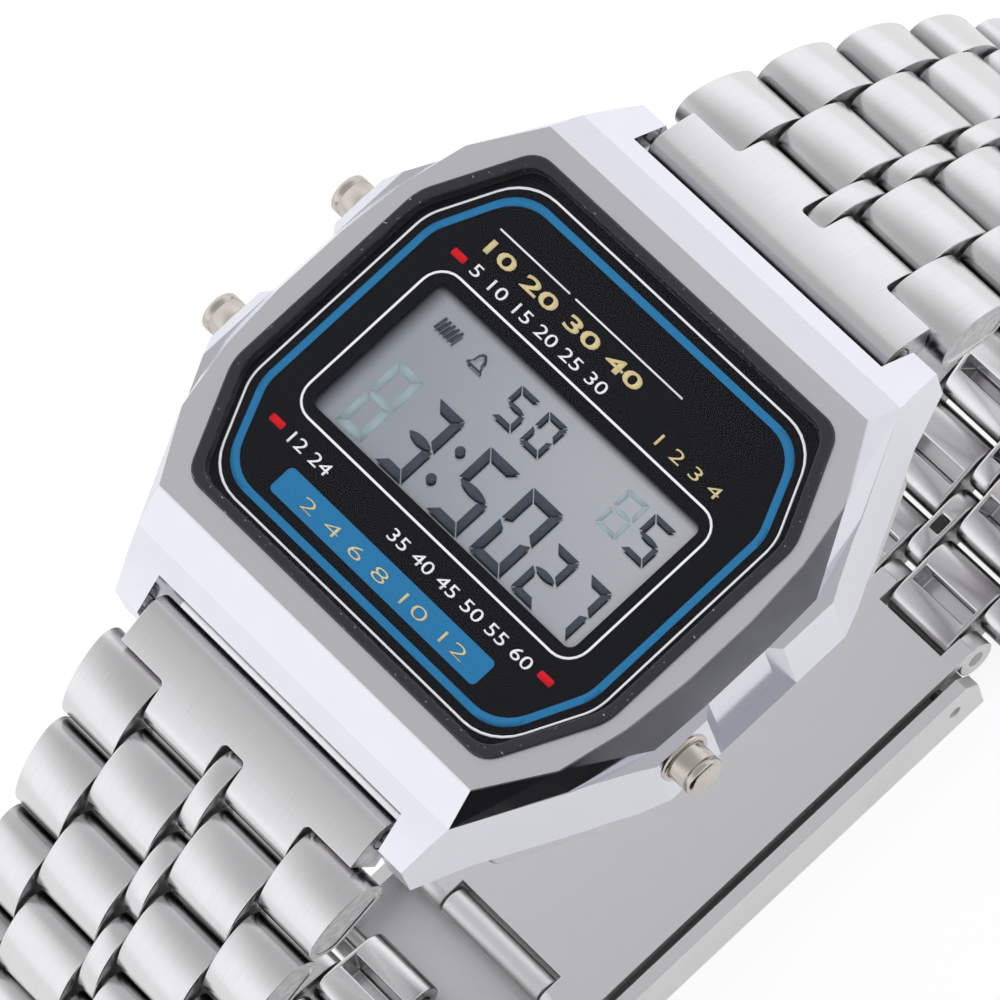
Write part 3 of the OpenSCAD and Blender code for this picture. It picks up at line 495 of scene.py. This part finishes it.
def makeButton(node):
    low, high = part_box(node)
    side = 1 if high.x > 0 else -1
    reach = max(abs(low.x), abs(high.x)) / mm
    inside = min(abs(low.x), abs(high.x)) / mm
    place = Vector((0, (low.y + high.y) / 2, (low.z + high.z) / 2))
    turn = Matrix.Rotation(0 if side > 0 else math.pi, 3, "Z")
    bm = bmesh.new()
    lathe(bm, buttonProfile(inside, reach), place, turn)
    bmesh.ops.recalc_face_normals(bm, faces=bm.faces)
    name, metal = node.replace("_b", "B"), "button_metal"
    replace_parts(newPiece(name + "Head", bm, bodyOf[node], finishes[metal], metal), node)
    bm = bmesh.new()
    lathe(bm, collarProfile(reach - button["standsOut"]), place, turn)
    caps = [f for f in bm.faces if len(f.verts) > 8]  # the collar is a ring, so its bore takes their place
    bmesh.ops.delete(bm, geom=caps, context="FACES_ONLY")
    bmesh.ops.bridge_loops(bm, edges=[e for e in bm.edges if e.is_boundary])
    bmesh.ops.recalc_face_normals(bm, faces=bm.faces)
    newPiece(name + "Collar", bm, "case", finishes[metal], metal)


for node in ("light_button", "mode_button", "start_button"):
    makeButton(node)
print("buttons made")

# The printed dial under the crystal

dial = {
    "drop": 0.5, "ink": 0.02, "middle": -0.15,
    "whiteLine": {"half": (13.07, 11.175), "corner": (10.5, 6.1), "radius": 3.0, "width": 0.12},
    "blueBand": {"half": (12.5, 10.55), "corner": (10.25, 5.85), "radius": 2.6, "width": 0.42},
    "frameLine": {"box": (-10.57, 10.47, -5.81, 4.79), "radius": 1.4, "width": 0.13},
    "rules": [(-9.65, -4.4), (-4.0, 3.97)], "ruleAt": 8.0, "ruleWidth": 0.1, "ruleRadius": 0.04,
    "dashes": [(-10.1, 5.55), (-10.15, -6.95), (9.95, -6.9)], "dash": (0.95, 0.42), "dashRadius": 0.1,
    "bar": (-7.8, 7.6, -9.7, -8.05), "barRadius": 0.3}
dialRows = {  # figures, the box that they fill, and how much bolder they are
    "gold": [("10 20 30 40", -9.45, 1.95, 6.55, 7.4, 0.02), ("1 2 3 4", 4.65, 9.15, 5.35, 6.05, -0.005)],
    "bar": [("2 4 6 8 10 12", -6.0, 6.2, -9.3, -8.6, -0.015)],
    "white": [("5 10 15 20 25 30", -9.1, 0.85, 5.25, 5.95, 0.0), ("12 24", -9.05, -6.15, -7.35, -6.65, 0.0),
              ("35 40 45 50 55 60", -1.5, 8.95, -7.35, -6.65, 0.0)]}
inkLow = faceTop - dial["drop"] * mm
inkHigh = inkLow + dial["ink"] * mm


def octagon(half, corner, inset, radius):  # half sizes, and where the slants begin and end
    (w, l), (cx, cy) = half, corner
    slant = math.hypot(w - cx, l - cy)
    alongEnd = inset * (slant - (w - cx)) / (l - cy)
    alongSide = inset * (slant - (l - cy)) / (w - cx)
    w, l, cx, cy = w - inset, l - inset, cx - inset + (inset - alongEnd), cy - inset + (inset - alongSide)
    quarter = [(w, cy), (cx, l)]
    points = quarter + [(-x, y) for x, y in quarter[::-1]] + [(-x, -y) for x, y in quarter]
    points += [(x, -y) for x, y in quarter[::-1]]
    return roundedOutline([(x, y + dial["middle"]) for x, y in points], radius)


def boxOutline(x0, x1, y0, y1, radius, steps=6):
    return roundedOutline([(x1, y0), (x1, y1), (x0, y1), (x0, y0)], radius, steps)


def writing(text, x0, x1, y0, y1, weight):  # figures stretched to fill a box in mm, as a mesh
    curve = bpy.data.curves.new("figures", "FONT")
    curve.body = text
    curve.offset = weight
    curve.resolution_u = 3
    obj = bpy.data.objects.new("figures", curve)
    scene.collection.objects.link(obj)
    mesh = bpy.data.meshes.new_from_object(obj)
    bpy.data.objects.remove(obj)
    low = [min(v.co[i] for v in mesh.vertices) for i in (0, 1)]
    high = [max(v.co[i] for v in mesh.vertices) for i in (0, 1)]
    for v in mesh.vertices:
        v.co.x = (x0 + (v.co.x - low[0]) / (high[0] - low[0]) * (x1 - x0)) * mm
        v.co.y = (y0 + (v.co.y - low[1]) / (high[1] - low[1]) * (y1 - y0)) * mm
    return mesh


def addWriting(bm, row, low, high):
    flat = bmesh.new()
    flat.from_mesh(writing(*row))
    bmesh.ops.remove_doubles(flat, verts=flat.verts, dist=0.0005 * mm)
    for v in flat.verts:
        v.co.z = low
    raised = bmesh.ops.extrude_face_region(flat, geom=flat.faces[:])
    for item in raised["geom"]:
        if isinstance(item, bmesh.types.BMVert):
            item.co.z = high
    bmesh.ops.recalc_face_normals(flat, faces=flat.faces)
    mesh = bpy.data.meshes.new("row")
    flat.to_mesh(mesh)
    flat.free()
    bm.from_mesh(mesh)


def inkPiece(name, ink, bm, slot="dial"):
    return newPiece(name, bm, "case", inks[ink], slot)


def addOctagon(bm, line):
    outer, inner = (octagon(line["half"], line["corner"], inset, line["radius"])
                    for inset in (0, line["width"]))
    ringPrism(bm, outer, inner, inkLow, inkHigh)


def addFrameLine(bm, line):
    x0, x1, y0, y1 = line["box"]
    radius, width = line["radius"], line["width"]
    inner = boxOutline(x0 + width, x1 - width, y0 + width, y1 - width, radius - width)
    ringPrism(bm, boxOutline(*line["box"], radius), inner, inkLow, inkHigh)


def makeDial():
    bm = bmesh.new()
    addOctagon(bm, dial["whiteLine"])
    addFrameLine(bm, dial["frameLine"])
    y, half = dial["ruleAt"], dial["ruleWidth"] / 2
    for x0, x1 in dial["rules"]:
        prism(bm, boxOutline(x0, x1, y - half, y + half, dial["ruleRadius"], 3), inkLow, inkHigh)
    for row in dialRows["white"]:
        addWriting(bm, row, inkLow, inkHigh)
    inkPiece("dialWhiteInk", "white", bm)
    bm = bmesh.new()
    addOctagon(bm, dial["blueBand"])
    prism(bm, boxOutline(*dial["bar"], dial["barRadius"]), inkLow, inkHigh)
    inkPiece("dialBlueInk", "blue", bm)
    bm = bmesh.new()
    for row in dialRows["gold"]:
        addWriting(bm, row, inkLow, inkHigh)
    for row in dialRows["bar"]:  # printed on the blue
        addWriting(bm, row, inkHigh, inkHigh + dial["ink"] * mm)
    inkPiece("dialGoldInk", "gold", bm)
    bm = bmesh.new()
    w, l = (size / 2 for size in dial["dash"])
    for x, y in dial["dashes"]:
        prism(bm, boxOutline(x - w, x + w, y - l, y + l, dial["dashRadius"], 3), inkLow, inkHigh)
    inkPiece("dialRedInk", "red", bm)


makeDial()
print("dial printed")

# The figures of the liquid crystal display

figures = {
    "gap": 0.07, "thin": 0.002, "shadows": [(0.1, -0.1), (0.19, -0.19)],
    "big": [("3", -5.15, -3.2, -4.85, -0.35, 0.5), ("5", -1.3, 0.95, -4.85, -0.35, 0.5),
            ("0", 1.9, 4.15, -4.85, -0.35, 0.5)],
    "small": [("2", 4.95, 6.6, -4.8, -1.5, 0.38), ("7", 7.4, 9.0, -4.8, -1.5, 0.38)],
    "top": [("5", -2.6, -1.2, 0.85, 3.0, 0.26), ("0", -0.55, 0.85, 0.85, 3.0, 0.26),
            ("5", 7.4, 8.95, 0.5, 2.95, 0.28)],
    "ghosts": [("8", -8.2, -6.3, -4.85, -0.35, 0.5), ("8", 5.45, 6.95, 0.5, 2.95, 0.28)],
    "bell": (-5.15, 2.33), "bellHollow": (0.68, 0.7),
    "bellOutline": [(-0.52, -0.42), (0.52, -0.42), (0.52, -0.3), (0.33, -0.12), (0.28, 0.28),
                    (0.1, 0.5), (-0.1, 0.5), (-0.28, 0.28), (-0.33, -0.12), (-0.52, -0.3)],
    "colon": [(-2.25, -1.6), (-2.25, -3.6)], "dot": 0.28,
    "bars": {"x": -8.3, "step": 0.3, "count": 5, "y": (2.05, 2.85), "width": 0.17, "lean": 0.12}}
litParts = {"0": "abcdef", "1": "bc", "2": "abged", "3": "abgcd", "4": "fgbc", "5": "afgcd", "6": "afgedc",
            "7": "abc", "8": "abcdefg", "9": "abcdfg"}


def segmentOutlines(w, l, t, gap):  # the seven parts of a figure, in a box w by l, each t thick
    m, h, d = l / 2, t / 2, gap * 0.7
    leaf = [(x, math.sin(math.pi * x) ** 0.7) for x in (i / 14 for i in range(15))]
    reach = w - h - 2 * d
    return {
        "a": [(d, l), (t + d, l - t), (w - t - d, l - t), (w - d, l)],
        "d": [(t + d, t), (d, 0), (w - d, 0), (w - t - d, t)],
        "g": [(h / 2 + d + x * reach, m - y * h) for x, y in leaf]
             + [(h / 2 + d + x * reach, m + y * h) for x, y in leaf[-2:0:-1]],
        "f": [(0, m + d), (t, m + h + gap), (t, l - t - d), (0, l - d)],
        "b": [(w, m + d), (w, l - d), (w - t, l - t - d), (w - t, m + h + gap)],
        "e": [(0, d), (t, t + d), (t, m - h - gap), (0, m - d)],
        "c": [(w, d), (w, m - d), (w - t, m - h - gap), (w - t, t + d)]}


def addFigure(bm, figure, low, high, move):
    text, x0, x1, y0, y1, thick = figure
    parts = segmentOutlines(x1 - x0, y1 - y0, thick, figures["gap"])
    for name in litParts[text]:
        prism(bm, [(x0 + x + move[0], y0 + y + move[1]) for x, y in parts[name]], low, high)


def addMarks(bm, low, high, move):  # the colon, the bell and the row of bars
    for x, y in figures["colon"]:
        prism(bm, arc((x + move[0], y + move[1]), figures["dot"], 0, 345, 23), low, high)
    place = [figures["bell"][i] + move[i] for i in (0, 1)]
    outline = [(x + place[0], y + place[1]) for x, y in figures["bellOutline"]]
    middle = [sum(point[i] for point in outline) / len(outline) for i in (0, 1)]
    hollow = [[middle[i] + (point[i] - middle[i]) * figures["bellHollow"][i] for i in (0, 1)]
              for point in outline]
    ringPrism(bm, outline, hollow, low, high)
    bars = figures["bars"]
    for i in range(bars["count"]):
        x = bars["x"] + i * bars["step"] + move[0]
        y0, y1 = (y + move[1] for y in bars["y"])
        prism(bm, [(x, y0), (x + bars["width"], y0), (x + bars["width"] + bars["lean"], y1),
                   (x + bars["lean"], y1)], low, high)


def makeFigures():
    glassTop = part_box("lcd_glass")[1].z
    thin = figures["thin"] * mm
    shown = figures["big"] + figures["small"] + figures["top"]
    for name, ink, moves, marks, layer in (
            ("displayFigures", "digit", [(0, 0)], shown, 14),
            ("displayShadows", "shadow", figures["shadows"], shown, 2),
            ("displayGhosts", "ghost", [(0, 0)], figures["ghosts"], 2)):
        bm = bmesh.new()
        for i, move in enumerate(moves):  # the shadows lie on each other, so their edges fade
            low = glassTop + (layer + 2 * i) * thin
            for figure in marks:
                addFigure(bm, figure, low, low + thin, move)
            if marks is shown:
                addMarks(bm, low, low + thin, move)
        bmesh.ops.recalc_face_normals(bm, faces=bm.faces)
        inkPiece(name, ink, bm, "display")


makeFigures()
print("display figures made")

# The bracelet: each unit is three links, then two, on two pins

bracelet = {"width": 20.0, "endWidth": 16.0, "units": 12, "taperUnits": 4, "centre": 1.3, "inner": 4.65,
            "gap": 0.15, "radius": 1.25, "crown": 0.25, "rowGap": 0.225, "pin": 0.5, "pinEdge": 0.1,
            "play": 0.03, "cheek": 0.45, "fold": 0.35, "side": 0.3, "edge": 0.14, "seam": 0.3,
            # the last four heights set the painted shade in the gaps between links
            "seamDeep": 0.06, "seamSlope": 0.05, "gapShade": (0.75, 0.2, -0.3, -0.9)}
bore = bracelet["pin"] + bracelet["play"]
rowStep = 2 * bracelet["radius"] + bracelet["rowGap"]
innerX = bracelet["centre"] / 2 + bracelet["gap"]
outerX = innerX + bracelet["inner"] + bracelet["gap"]


def halfWidth(k):  # half of the bracelet's width after k units
    share = min(k / bracelet["taperUnits"], 1)
    return (bracelet["width"] + (bracelet["endWidth"] - bracelet["width"]) * share) / 2


def sideX(k, y):  # the bracelet's side at a distance along unit k
    share = (y + bracelet["radius"] + bracelet["rowGap"] / 2) / (2 * rowStep)
    return halfWidth(k) + (halfWidth(k + 1) - halfWidth(k)) * share


def linkOutline(steps=12):  # [y, z] from the first pin, crowned on the outer side
    r, crown = bracelet["radius"], bracelet["crown"]
    deep = ((rowStep / 2) ** 2 - crown ** 2) / (2 * crown)
    lean = math.degrees(math.atan2(rowStep / 2, deep))
    right = arc((rowStep, 0), r, -90, 90 - lean, steps)
    top = arc((rowStep / 2, -deep), r + crown + deep, 90 - lean, 90 + lean, steps)
    left = arc((0, 0), r, 90 + lean, 270, steps)
    return right + top[1:-1] + left


def gapShadeAt(height):  # painted shade: dark in the gaps between links, none on the crown, fading out towards the underside
    high, dark, fade, low = bracelet["gapShade"]
    return max(0.0, min(1.0, (high - height) / (high - dark), (height - low) / (fade - low)))


def makeLink(name, left, right, cheeks=(0, 0)):  # the sides are functions of the distance along the unit
    bm = bmesh.new()
    for cap, cheek in zip(beam(bm, linkOutline(), (left, right)), cheeks):
        if cheek:  # the folded sheet shows round the closed side
            for thickness, deep in ((bracelet["seam"], 0), (bracelet["seamSlope"], bracelet["seamDeep"])):
                bmesh.ops.inset_region(bm, faces=[cap], thickness=thickness * mm, depth=-deep * mm)
    link = looseObject(name, bm)
    bm = bmesh.new()
    x0, x1 = (max(left(0), left(rowStep)), min(right(0), right(rowStep)))
    ends = (x0 + cheeks[0] if cheeks[0] else x0 - 1, x1 - cheeks[1] if cheeks[1] else x1 + 1)
    for y in (0, rowStep):
        lathe(bm, [(x, bore) for x in ends], Vector((0, y * mm, 0)), sides=32)
    x0, x1 = x0 + bracelet["side"], x1 - bracelet["side"]
    y0, y1 = bracelet["pin"] + bracelet["fold"], rowStep - bracelet["pin"] - bracelet["fold"]
    top = bracelet["radius"] + bracelet["crown"] - 2 * bracelet["fold"]
    prism(bm, [(x0, y0), (x1, y0), (x1, y1), (x0, y1)], -2 * rowStep * mm, top * mm)
    bmesh.ops.recalc_face_normals(bm, faces=bm.faces)
    hollow = looseObject("hollow", bm)
    cutAway(link, hollow)
    roundEdges(link, bracelet["edge"], 3, 40)
    link.data.shade_smooth()
    link.data = plainMesh(link)
    # painted shade for the gaps, stored on each point
    shade = link.data.attributes.new("gapShade", "FLOAT", "POINT")
    for i, v in enumerate(link.data.vertices):
        shade.data[i].value = gapShadeAt(v.co.z / mm)
    bpy.data.objects.remove(hollow)
    return link


def makePin(k):
    half = halfWidth(k + 1) - bracelet["cheek"] - bracelet["play"]
    r, edge = bracelet["pin"], bracelet["pinEdge"]
    bm = bmesh.new()
    lathe(bm, [(-half, r - edge), (edge - half, r), (half - edge, r), (half, r - edge)], sides=20)
    bmesh.ops.recalc_face_normals(bm, faces=bm.faces)
    return looseObject("pin", bm)


def unitTree():  # three links, two links and two pins, put at a place on a slope
    tree = bpy.data.node_groups.new("braceletUnit", "GeometryNodeTree")
    face = tree.interface
    face.new_socket("Geometry", in_out="OUTPUT", socket_type="NodeSocketGeometry")
    sockets = {}
    for name, kind in (("Left link", "Object"), ("Right link", "Object"), ("Centre link", "Object"),
                       ("Inner link", "Object"), ("Pin", "Object"), ("Inner place", "Float"),
                       ("Row step", "Float"), ("Place", "Vector"), ("Turn", "Vector"), ("Metal", "Material")):
        sockets[name] = face.new_socket(name, in_out="INPUT", socket_type="NodeSocket" + kind).identifier
    g = Graph(tree)
    given = tree.nodes.new("NodeGroupInput")
    value = {name: Signal(g, given.outputs[name]) for name in sockets}

    def row(count, start, step, item):
        points = g.add("GeometryNodeMeshLine", {"mode": "OFFSET"},
                       {"Count": count, "Start Location": start, "Offset": step})
        shape = g.add("GeometryNodeObjectInfo", None, {"Object": value[item]}, "Geometry")
        return g.add("GeometryNodeInstanceOnPoints", None, {"Points": points, "Instance": shape})

    def vector(x=0.0, y=0.0):
        return g.add("ShaderNodeCombineXYZ", None, {"X": x, "Y": y})

    inner, step = value["Inner place"], value["Row step"]
    parts = [row(1, vector(), vector(), name) for name in ("Left link", "Right link", "Centre link")]
    parts += [row(2, vector(inner * -1, step), vector(inner * 2), "Inner link"),
              row(2, vector(), vector(0.0, step), "Pin")]
    join = tree.nodes.new("GeometryNodeJoinGeometry")
    for part in parts:
        tree.links.new(part.socket, join.inputs[0])
    moved = g.add("GeometryNodeTransform", None, {
        "Geometry": Signal(g, join.outputs[0]), "Translation": value["Place"], "Rotation": value["Turn"]})
    real = g.add("GeometryNodeRealizeInstances", None, {0: moved})
    done = g.add("GeometryNodeSetMaterial", None, {"Geometry": real, "Material": value["Metal"]})
    result = tree.nodes.new("NodeGroupOutput")
    tree.links.new(done.socket, result.inputs[0])
    return tree, sockets


def grown(name, tree, sockets, values, body):  # the tree's result as a plain piece
    obj = bpy.data.objects.new(name, bpy.data.meshes.new(name))
    scene.collection.objects.link(obj)
    made = obj.modifiers.new(name, "NODES")
    made.node_group = tree
    for key, value in values.items():
        made[sockets[key]] = value
    obj.data = plainMesh(obj)
    obj.data.name = name
    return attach(obj, body)


def unitLinks(k):  # the links of unit k, which get shorter where the bracelet narrows
    cheek = bracelet["cheek"]
    return {"Left link": makeLink("leftLink", lambda y: -sideX(k, y), lambda y: -outerX, (cheek, 0)),
            "Right link": makeLink("rightLink", lambda y: outerX, lambda y: sideX(k, y), (0, cheek)),
            "Pin": makePin(k)}


def unitPlaces(half):  # where each unit starts, and the steps to the next
    pivot = jointAt["clasp_pivot"].copy()
    if half == "6":  # the end pin of this half is opposite the clasp's pivot
        pivot.y *= -1
    places = [jointAt[f"hinge_{half}_{k + 1}"] for k in range(bracelet["units"])]
    return zip(places, places[1:] + [pivot])


def makeBracelet():
    centre, inner = bracelet["centre"] / 2, bracelet["inner"] / 2
    shared = {"Centre link": makeLink("centreLink", lambda y: -centre, lambda y: centre),
              "Inner link": makeLink("innerLink", lambda y: -inner, lambda y: inner)}
    tree, sockets = unitTree()
    narrowing = [unitLinks(k) for k in range(bracelet["taperUnits"] + 1)]
    for side, facing in (("12", 0), ("6", math.pi)):
        for k, (place, after) in enumerate(unitPlaces(side)):
            step = after - place
            slope = math.atan2(-step.z, step.y if facing == 0 else -step.y)
            node = f"links_{side}_{k + 1}"
            piece = grown(f"braceletLinks{side}_{k + 1}", tree, sockets, {
                **shared, **narrowing[min(k, bracelet["taperUnits"])],
                "Row step": rowStep * mm, "Inner place": (innerX + inner) * mm,
                "Place": place, "Turn": (-slope, 0, facing), "Metal": finishes["bracelet_steel"]}, node)
            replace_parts(piece, node)
    for item in [*shared.values(), *(link for unit in narrowing for link in unit.values())]:
        bpy.data.objects.remove(item)


# The end pieces, between the lugs

endPiece = {"width": 17.58, "barRadius": 0.75, "wall": 0.22, "plate": 2.0, "slope": 28.0, "crown": 13.0,
            "corner": 0.3, "edge": 0.15, "overrun": 3, "boreRun": 4}  # boreRun in slot lengths
endReach = endPiece["plate"] + bracelet["gap"] + bracelet["radius"]  # from the spring bar to the first pin


def endOutline():  # [y, z] from the spring bar: two round ends under a shallow crown
    r, firstLink = endPiece["barRadius"] + bracelet["play"] + endPiece["wall"], bracelet["radius"]
    lean = math.degrees(math.asin((firstLink - r) / endReach))
    near, far = endPiece["crown"] - r, endPiece["crown"] - firstLink  # the crown's centre, from both ends
    cx = (near ** 2 - far ** 2 + endReach ** 2) / (2 * endReach)
    cy = math.sqrt(near ** 2 - cx ** 2)
    first, last = math.degrees(math.atan2(cy, endReach - cx)), math.degrees(math.atan2(cy, -cx))
    outline = arc((0, 0), r, last, 270 - lean, 16)
    outline += arc((endReach, 0), firstLink, -90 - lean, first, 20)
    return outline + arc((cx, -cy), endPiece["crown"], first, last, 12)[1:-1]


def endCutter():  # three slots for the links, and the bores for the spring bar and the pin
    bm = bmesh.new()
    wide, slot, deep = endPiece["width"], outerX - bracelet["gap"], endPiece["overrun"]
    far = endReach + deep
    past = far * endPiece["boreRun"]
    for x0, x1 in ((-innerX, innerX), (slot, wide), (-wide, -slot)):
        outline = boxOutline(x0, x1, endPiece["plate"], far, endPiece["corner"])
        prism(bm, outline, -deep * mm, deep * mm)
    for y, radius, sides in ((0, endPiece["barRadius"] + bracelet["play"], 40), (endReach, bore, 32)):
        lathe(bm, [(-past, radius), (past, radius)], Vector((0, y * mm, 0)), sides=sides)
    bmesh.ops.recalc_face_normals(bm, faces=bm.faces)
    return looseObject("endCutter", bm)


def makeEndPiece(half, facing):
    bm = bmesh.new()
    beam(bm, endOutline(), [lambda y, side=side: side * endPiece["width"] / 2 for side in (-1, 1)])
    made, tool = looseObject("endPlate", bm), endCutter()
    cutAway(made, tool)
    bm = bmesh.new()
    bm.from_mesh(plainMesh(made))
    # painted shade for the gaps, as on the links
    shade = bm.verts.layers.float.new("gapShade")
    for v in bm.verts:
        v[shade] = gapShadeAt(v.co.z / mm)
    for item in (made, tool):
        bpy.data.objects.remove(item)
    turn = Matrix.Rotation(facing, 3, "Z") @ Matrix.Rotation(math.radians(-endPiece["slope"]), 3, "X")
    place = jointAt[f"bracelet_{half}_open"]
    for v in bm.verts:
        v.co = place + turn @ v.co
    node, metal = f"end_piece_{half}", "bracelet_steel"
    made = newPiece(f"endPiece{half}", bm, bodyOf[node], finishes[metal], metal, endPiece["edge"], 4, 40)
    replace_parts(made, node)


makeBracelet()
makeEndPiece("12", 0)
makeEndPiece("6", math.pi)
print("bracelet made")

# The folding clasp

claspEdges = {"cover": 0.18, "blade": 0.12}
dressed("claspCover", "clasp_cover", claspEdges["cover"])
dressed("claspOuterBlade", "outer_blade", claspEdges["blade"], 2)
dressed("claspInnerBlade", "inner_blade", claspEdges["blade"], 2)
print("clasp dressed")

# The camera, where the photograph was taken from

photograph = {"azimuth": 69.88, "elevation": 65.47, "roll": -24.35, "distance": 398.2,
              "aside": (-0.55, -2.35), "lens": 288}


def makeCamera(s):
    a, e, r = (math.radians(s[key]) for key in ("azimuth", "elevation", "roll"))
    back = Vector((math.sin(a) * math.cos(e), -math.cos(a) * math.cos(e), math.sin(e)))
    level = Vector((math.cos(a), math.sin(a), 0))
    right = level * math.cos(r) + back.cross(level) * math.sin(r)
    up = back.cross(right)
    data = bpy.data.cameras.new("camera")
    data.lens = s["lens"]
    data.clip_end = 10
    camera = bpy.data.objects.new("camera", data)
    scene.collection.objects.link(camera)
    away = back * s["distance"] + right * s["aside"][0] + up * s["aside"][1]
    place = Matrix.Translation(Vector((0, 0, faceTop)) + away * mm)
    camera.matrix_world = place @ Matrix((right, up, back)).transposed().to_4x4()
    scene.camera = camera


makeCamera(photograph)

# The studio: a white floor, a soft bright sky, two dark cards that only reflections show, and a lamp

studio = {"floor": 3.0, "paper": 0.9, "white": 1.07, "seen": 0.8, "mirrored": 0.35,
          "overhead": 0.58, "sides": 1.22, "topFrom": 0.93, "topTo": 0.35,
          "lamp": ((-0.35, 0.25, 0.9), 0.5, 3.0)}  # its place, size and power
darkCards = [  # two ends on the floor, height and level
    ((0.2, -0.05), (0.2, 0.24), 0.11, 0.13),
    ((0.06, -0.12), (0.06, -0.0146), 0.075, 0.003)]


def emptyGraph(owner):
    owner.use_nodes = True
    g = Graph(owner.node_tree)
    g.tree.nodes.clear()
    return g


def output(g, kind, shader):
    g.tree.links.new(shader.socket, g.tree.nodes.new(kind).inputs["Surface"])


def stageSheet(name, corners, paint):
    bm = bmesh.new()
    bm.faces.new([bm.verts.new(corner) for corner in corners])
    made = looseObject(name, bm)
    material = bpy.data.materials.new(name)
    g = emptyGraph(material)
    output(g, "ShaderNodeOutputMaterial", paint(g))
    made.data.materials.append(material)
    return made


def floorPaint(g):  # white to the eye and in reflections, and paper to the light
    share = g.add("ShaderNodeLightPath", None, None, "Is Camera Ray") * studio["seen"]
    for ray in ("Is Glossy Ray", "Is Transmission Ray"):
        share = share + g.add("ShaderNodeLightPath", None, None, ray) * studio["mirrored"]
    paper = g.add("ShaderNodeBsdfDiffuse", None, {"Color": [studio["paper"]] * 3 + [1]})
    glow = g.add("ShaderNodeEmission", None, {"Color": (1, 1, 1, 1), "Strength": studio["white"]})
    return g.add("ShaderNodeMixShader", None, {0: share, 1: paper, 2: glow})


def makeSky():
    scene.world = bpy.data.worlds.new("studioSky")
    g = emptyGraph(scene.world)
    way = g.add("ShaderNodeTexCoord", out="Generated")
    z = g.add("ShaderNodeSeparateXYZ", None, {0: way}, "Z")
    low = g.step(z, studio["topFrom"], studio["topTo"])
    level = low * (studio["sides"] - studio["overhead"]) + studio["overhead"]
    seen = g.add("ShaderNodeLightPath", None, None, "Is Camera Ray")
    strength = level * (1 - seen) + seen
    sky = g.add("ShaderNodeBackground", None, {"Color": (0.985, 0.99, 1.0, 1), "Strength": strength})
    output(g, "ShaderNodeOutputWorld", sky)


def makeCard(name, start, end, height, level):
    rises = ((start, 0), (end, 0), (end, height), (start, height))
    glow = {"Color": (level, level, level * 1.06, 1), "Strength": 1.0}
    made = stageSheet(name, [(*point, floorHeight + rise) for point, rise in rises],
                      lambda g: g.add("ShaderNodeEmission", None, glow))
    made.visible_camera = made.visible_diffuse = made.visible_shadow = False


def makeLamp(name, place, size, power):
    data = bpy.data.lights.new(name, "AREA")
    data.shape = "DISK"
    data.size = size
    data.energy = power
    lamp = bpy.data.objects.new(name, data)
    scene.collection.objects.link(lamp)
    lamp.location = place
    lamp.rotation_mode = "QUATERNION"
    lamp.rotation_quaternion = (Vector((0, 0, faceTop)) - Vector(place)).to_track_quat("-Z", "Y")
    lamp.visible_glossy = False


floorHeight, floorHalf = frameBox[0][2], studio["floor"] / 2
square = ((-1, -1), (1, -1), (1, 1), (-1, 1))
stageSheet("studioFloor", [(x * floorHalf, y * floorHalf, floorHeight) for x, y in square], floorPaint)
makeSky()
for number, card in enumerate(darkCards, 1):
    makeCard(f"darkCard{number}", *card)
makeLamp("keyLamp", *studio["lamp"])
scene.view_settings.view_transform = "Standard"
print("studio ready")
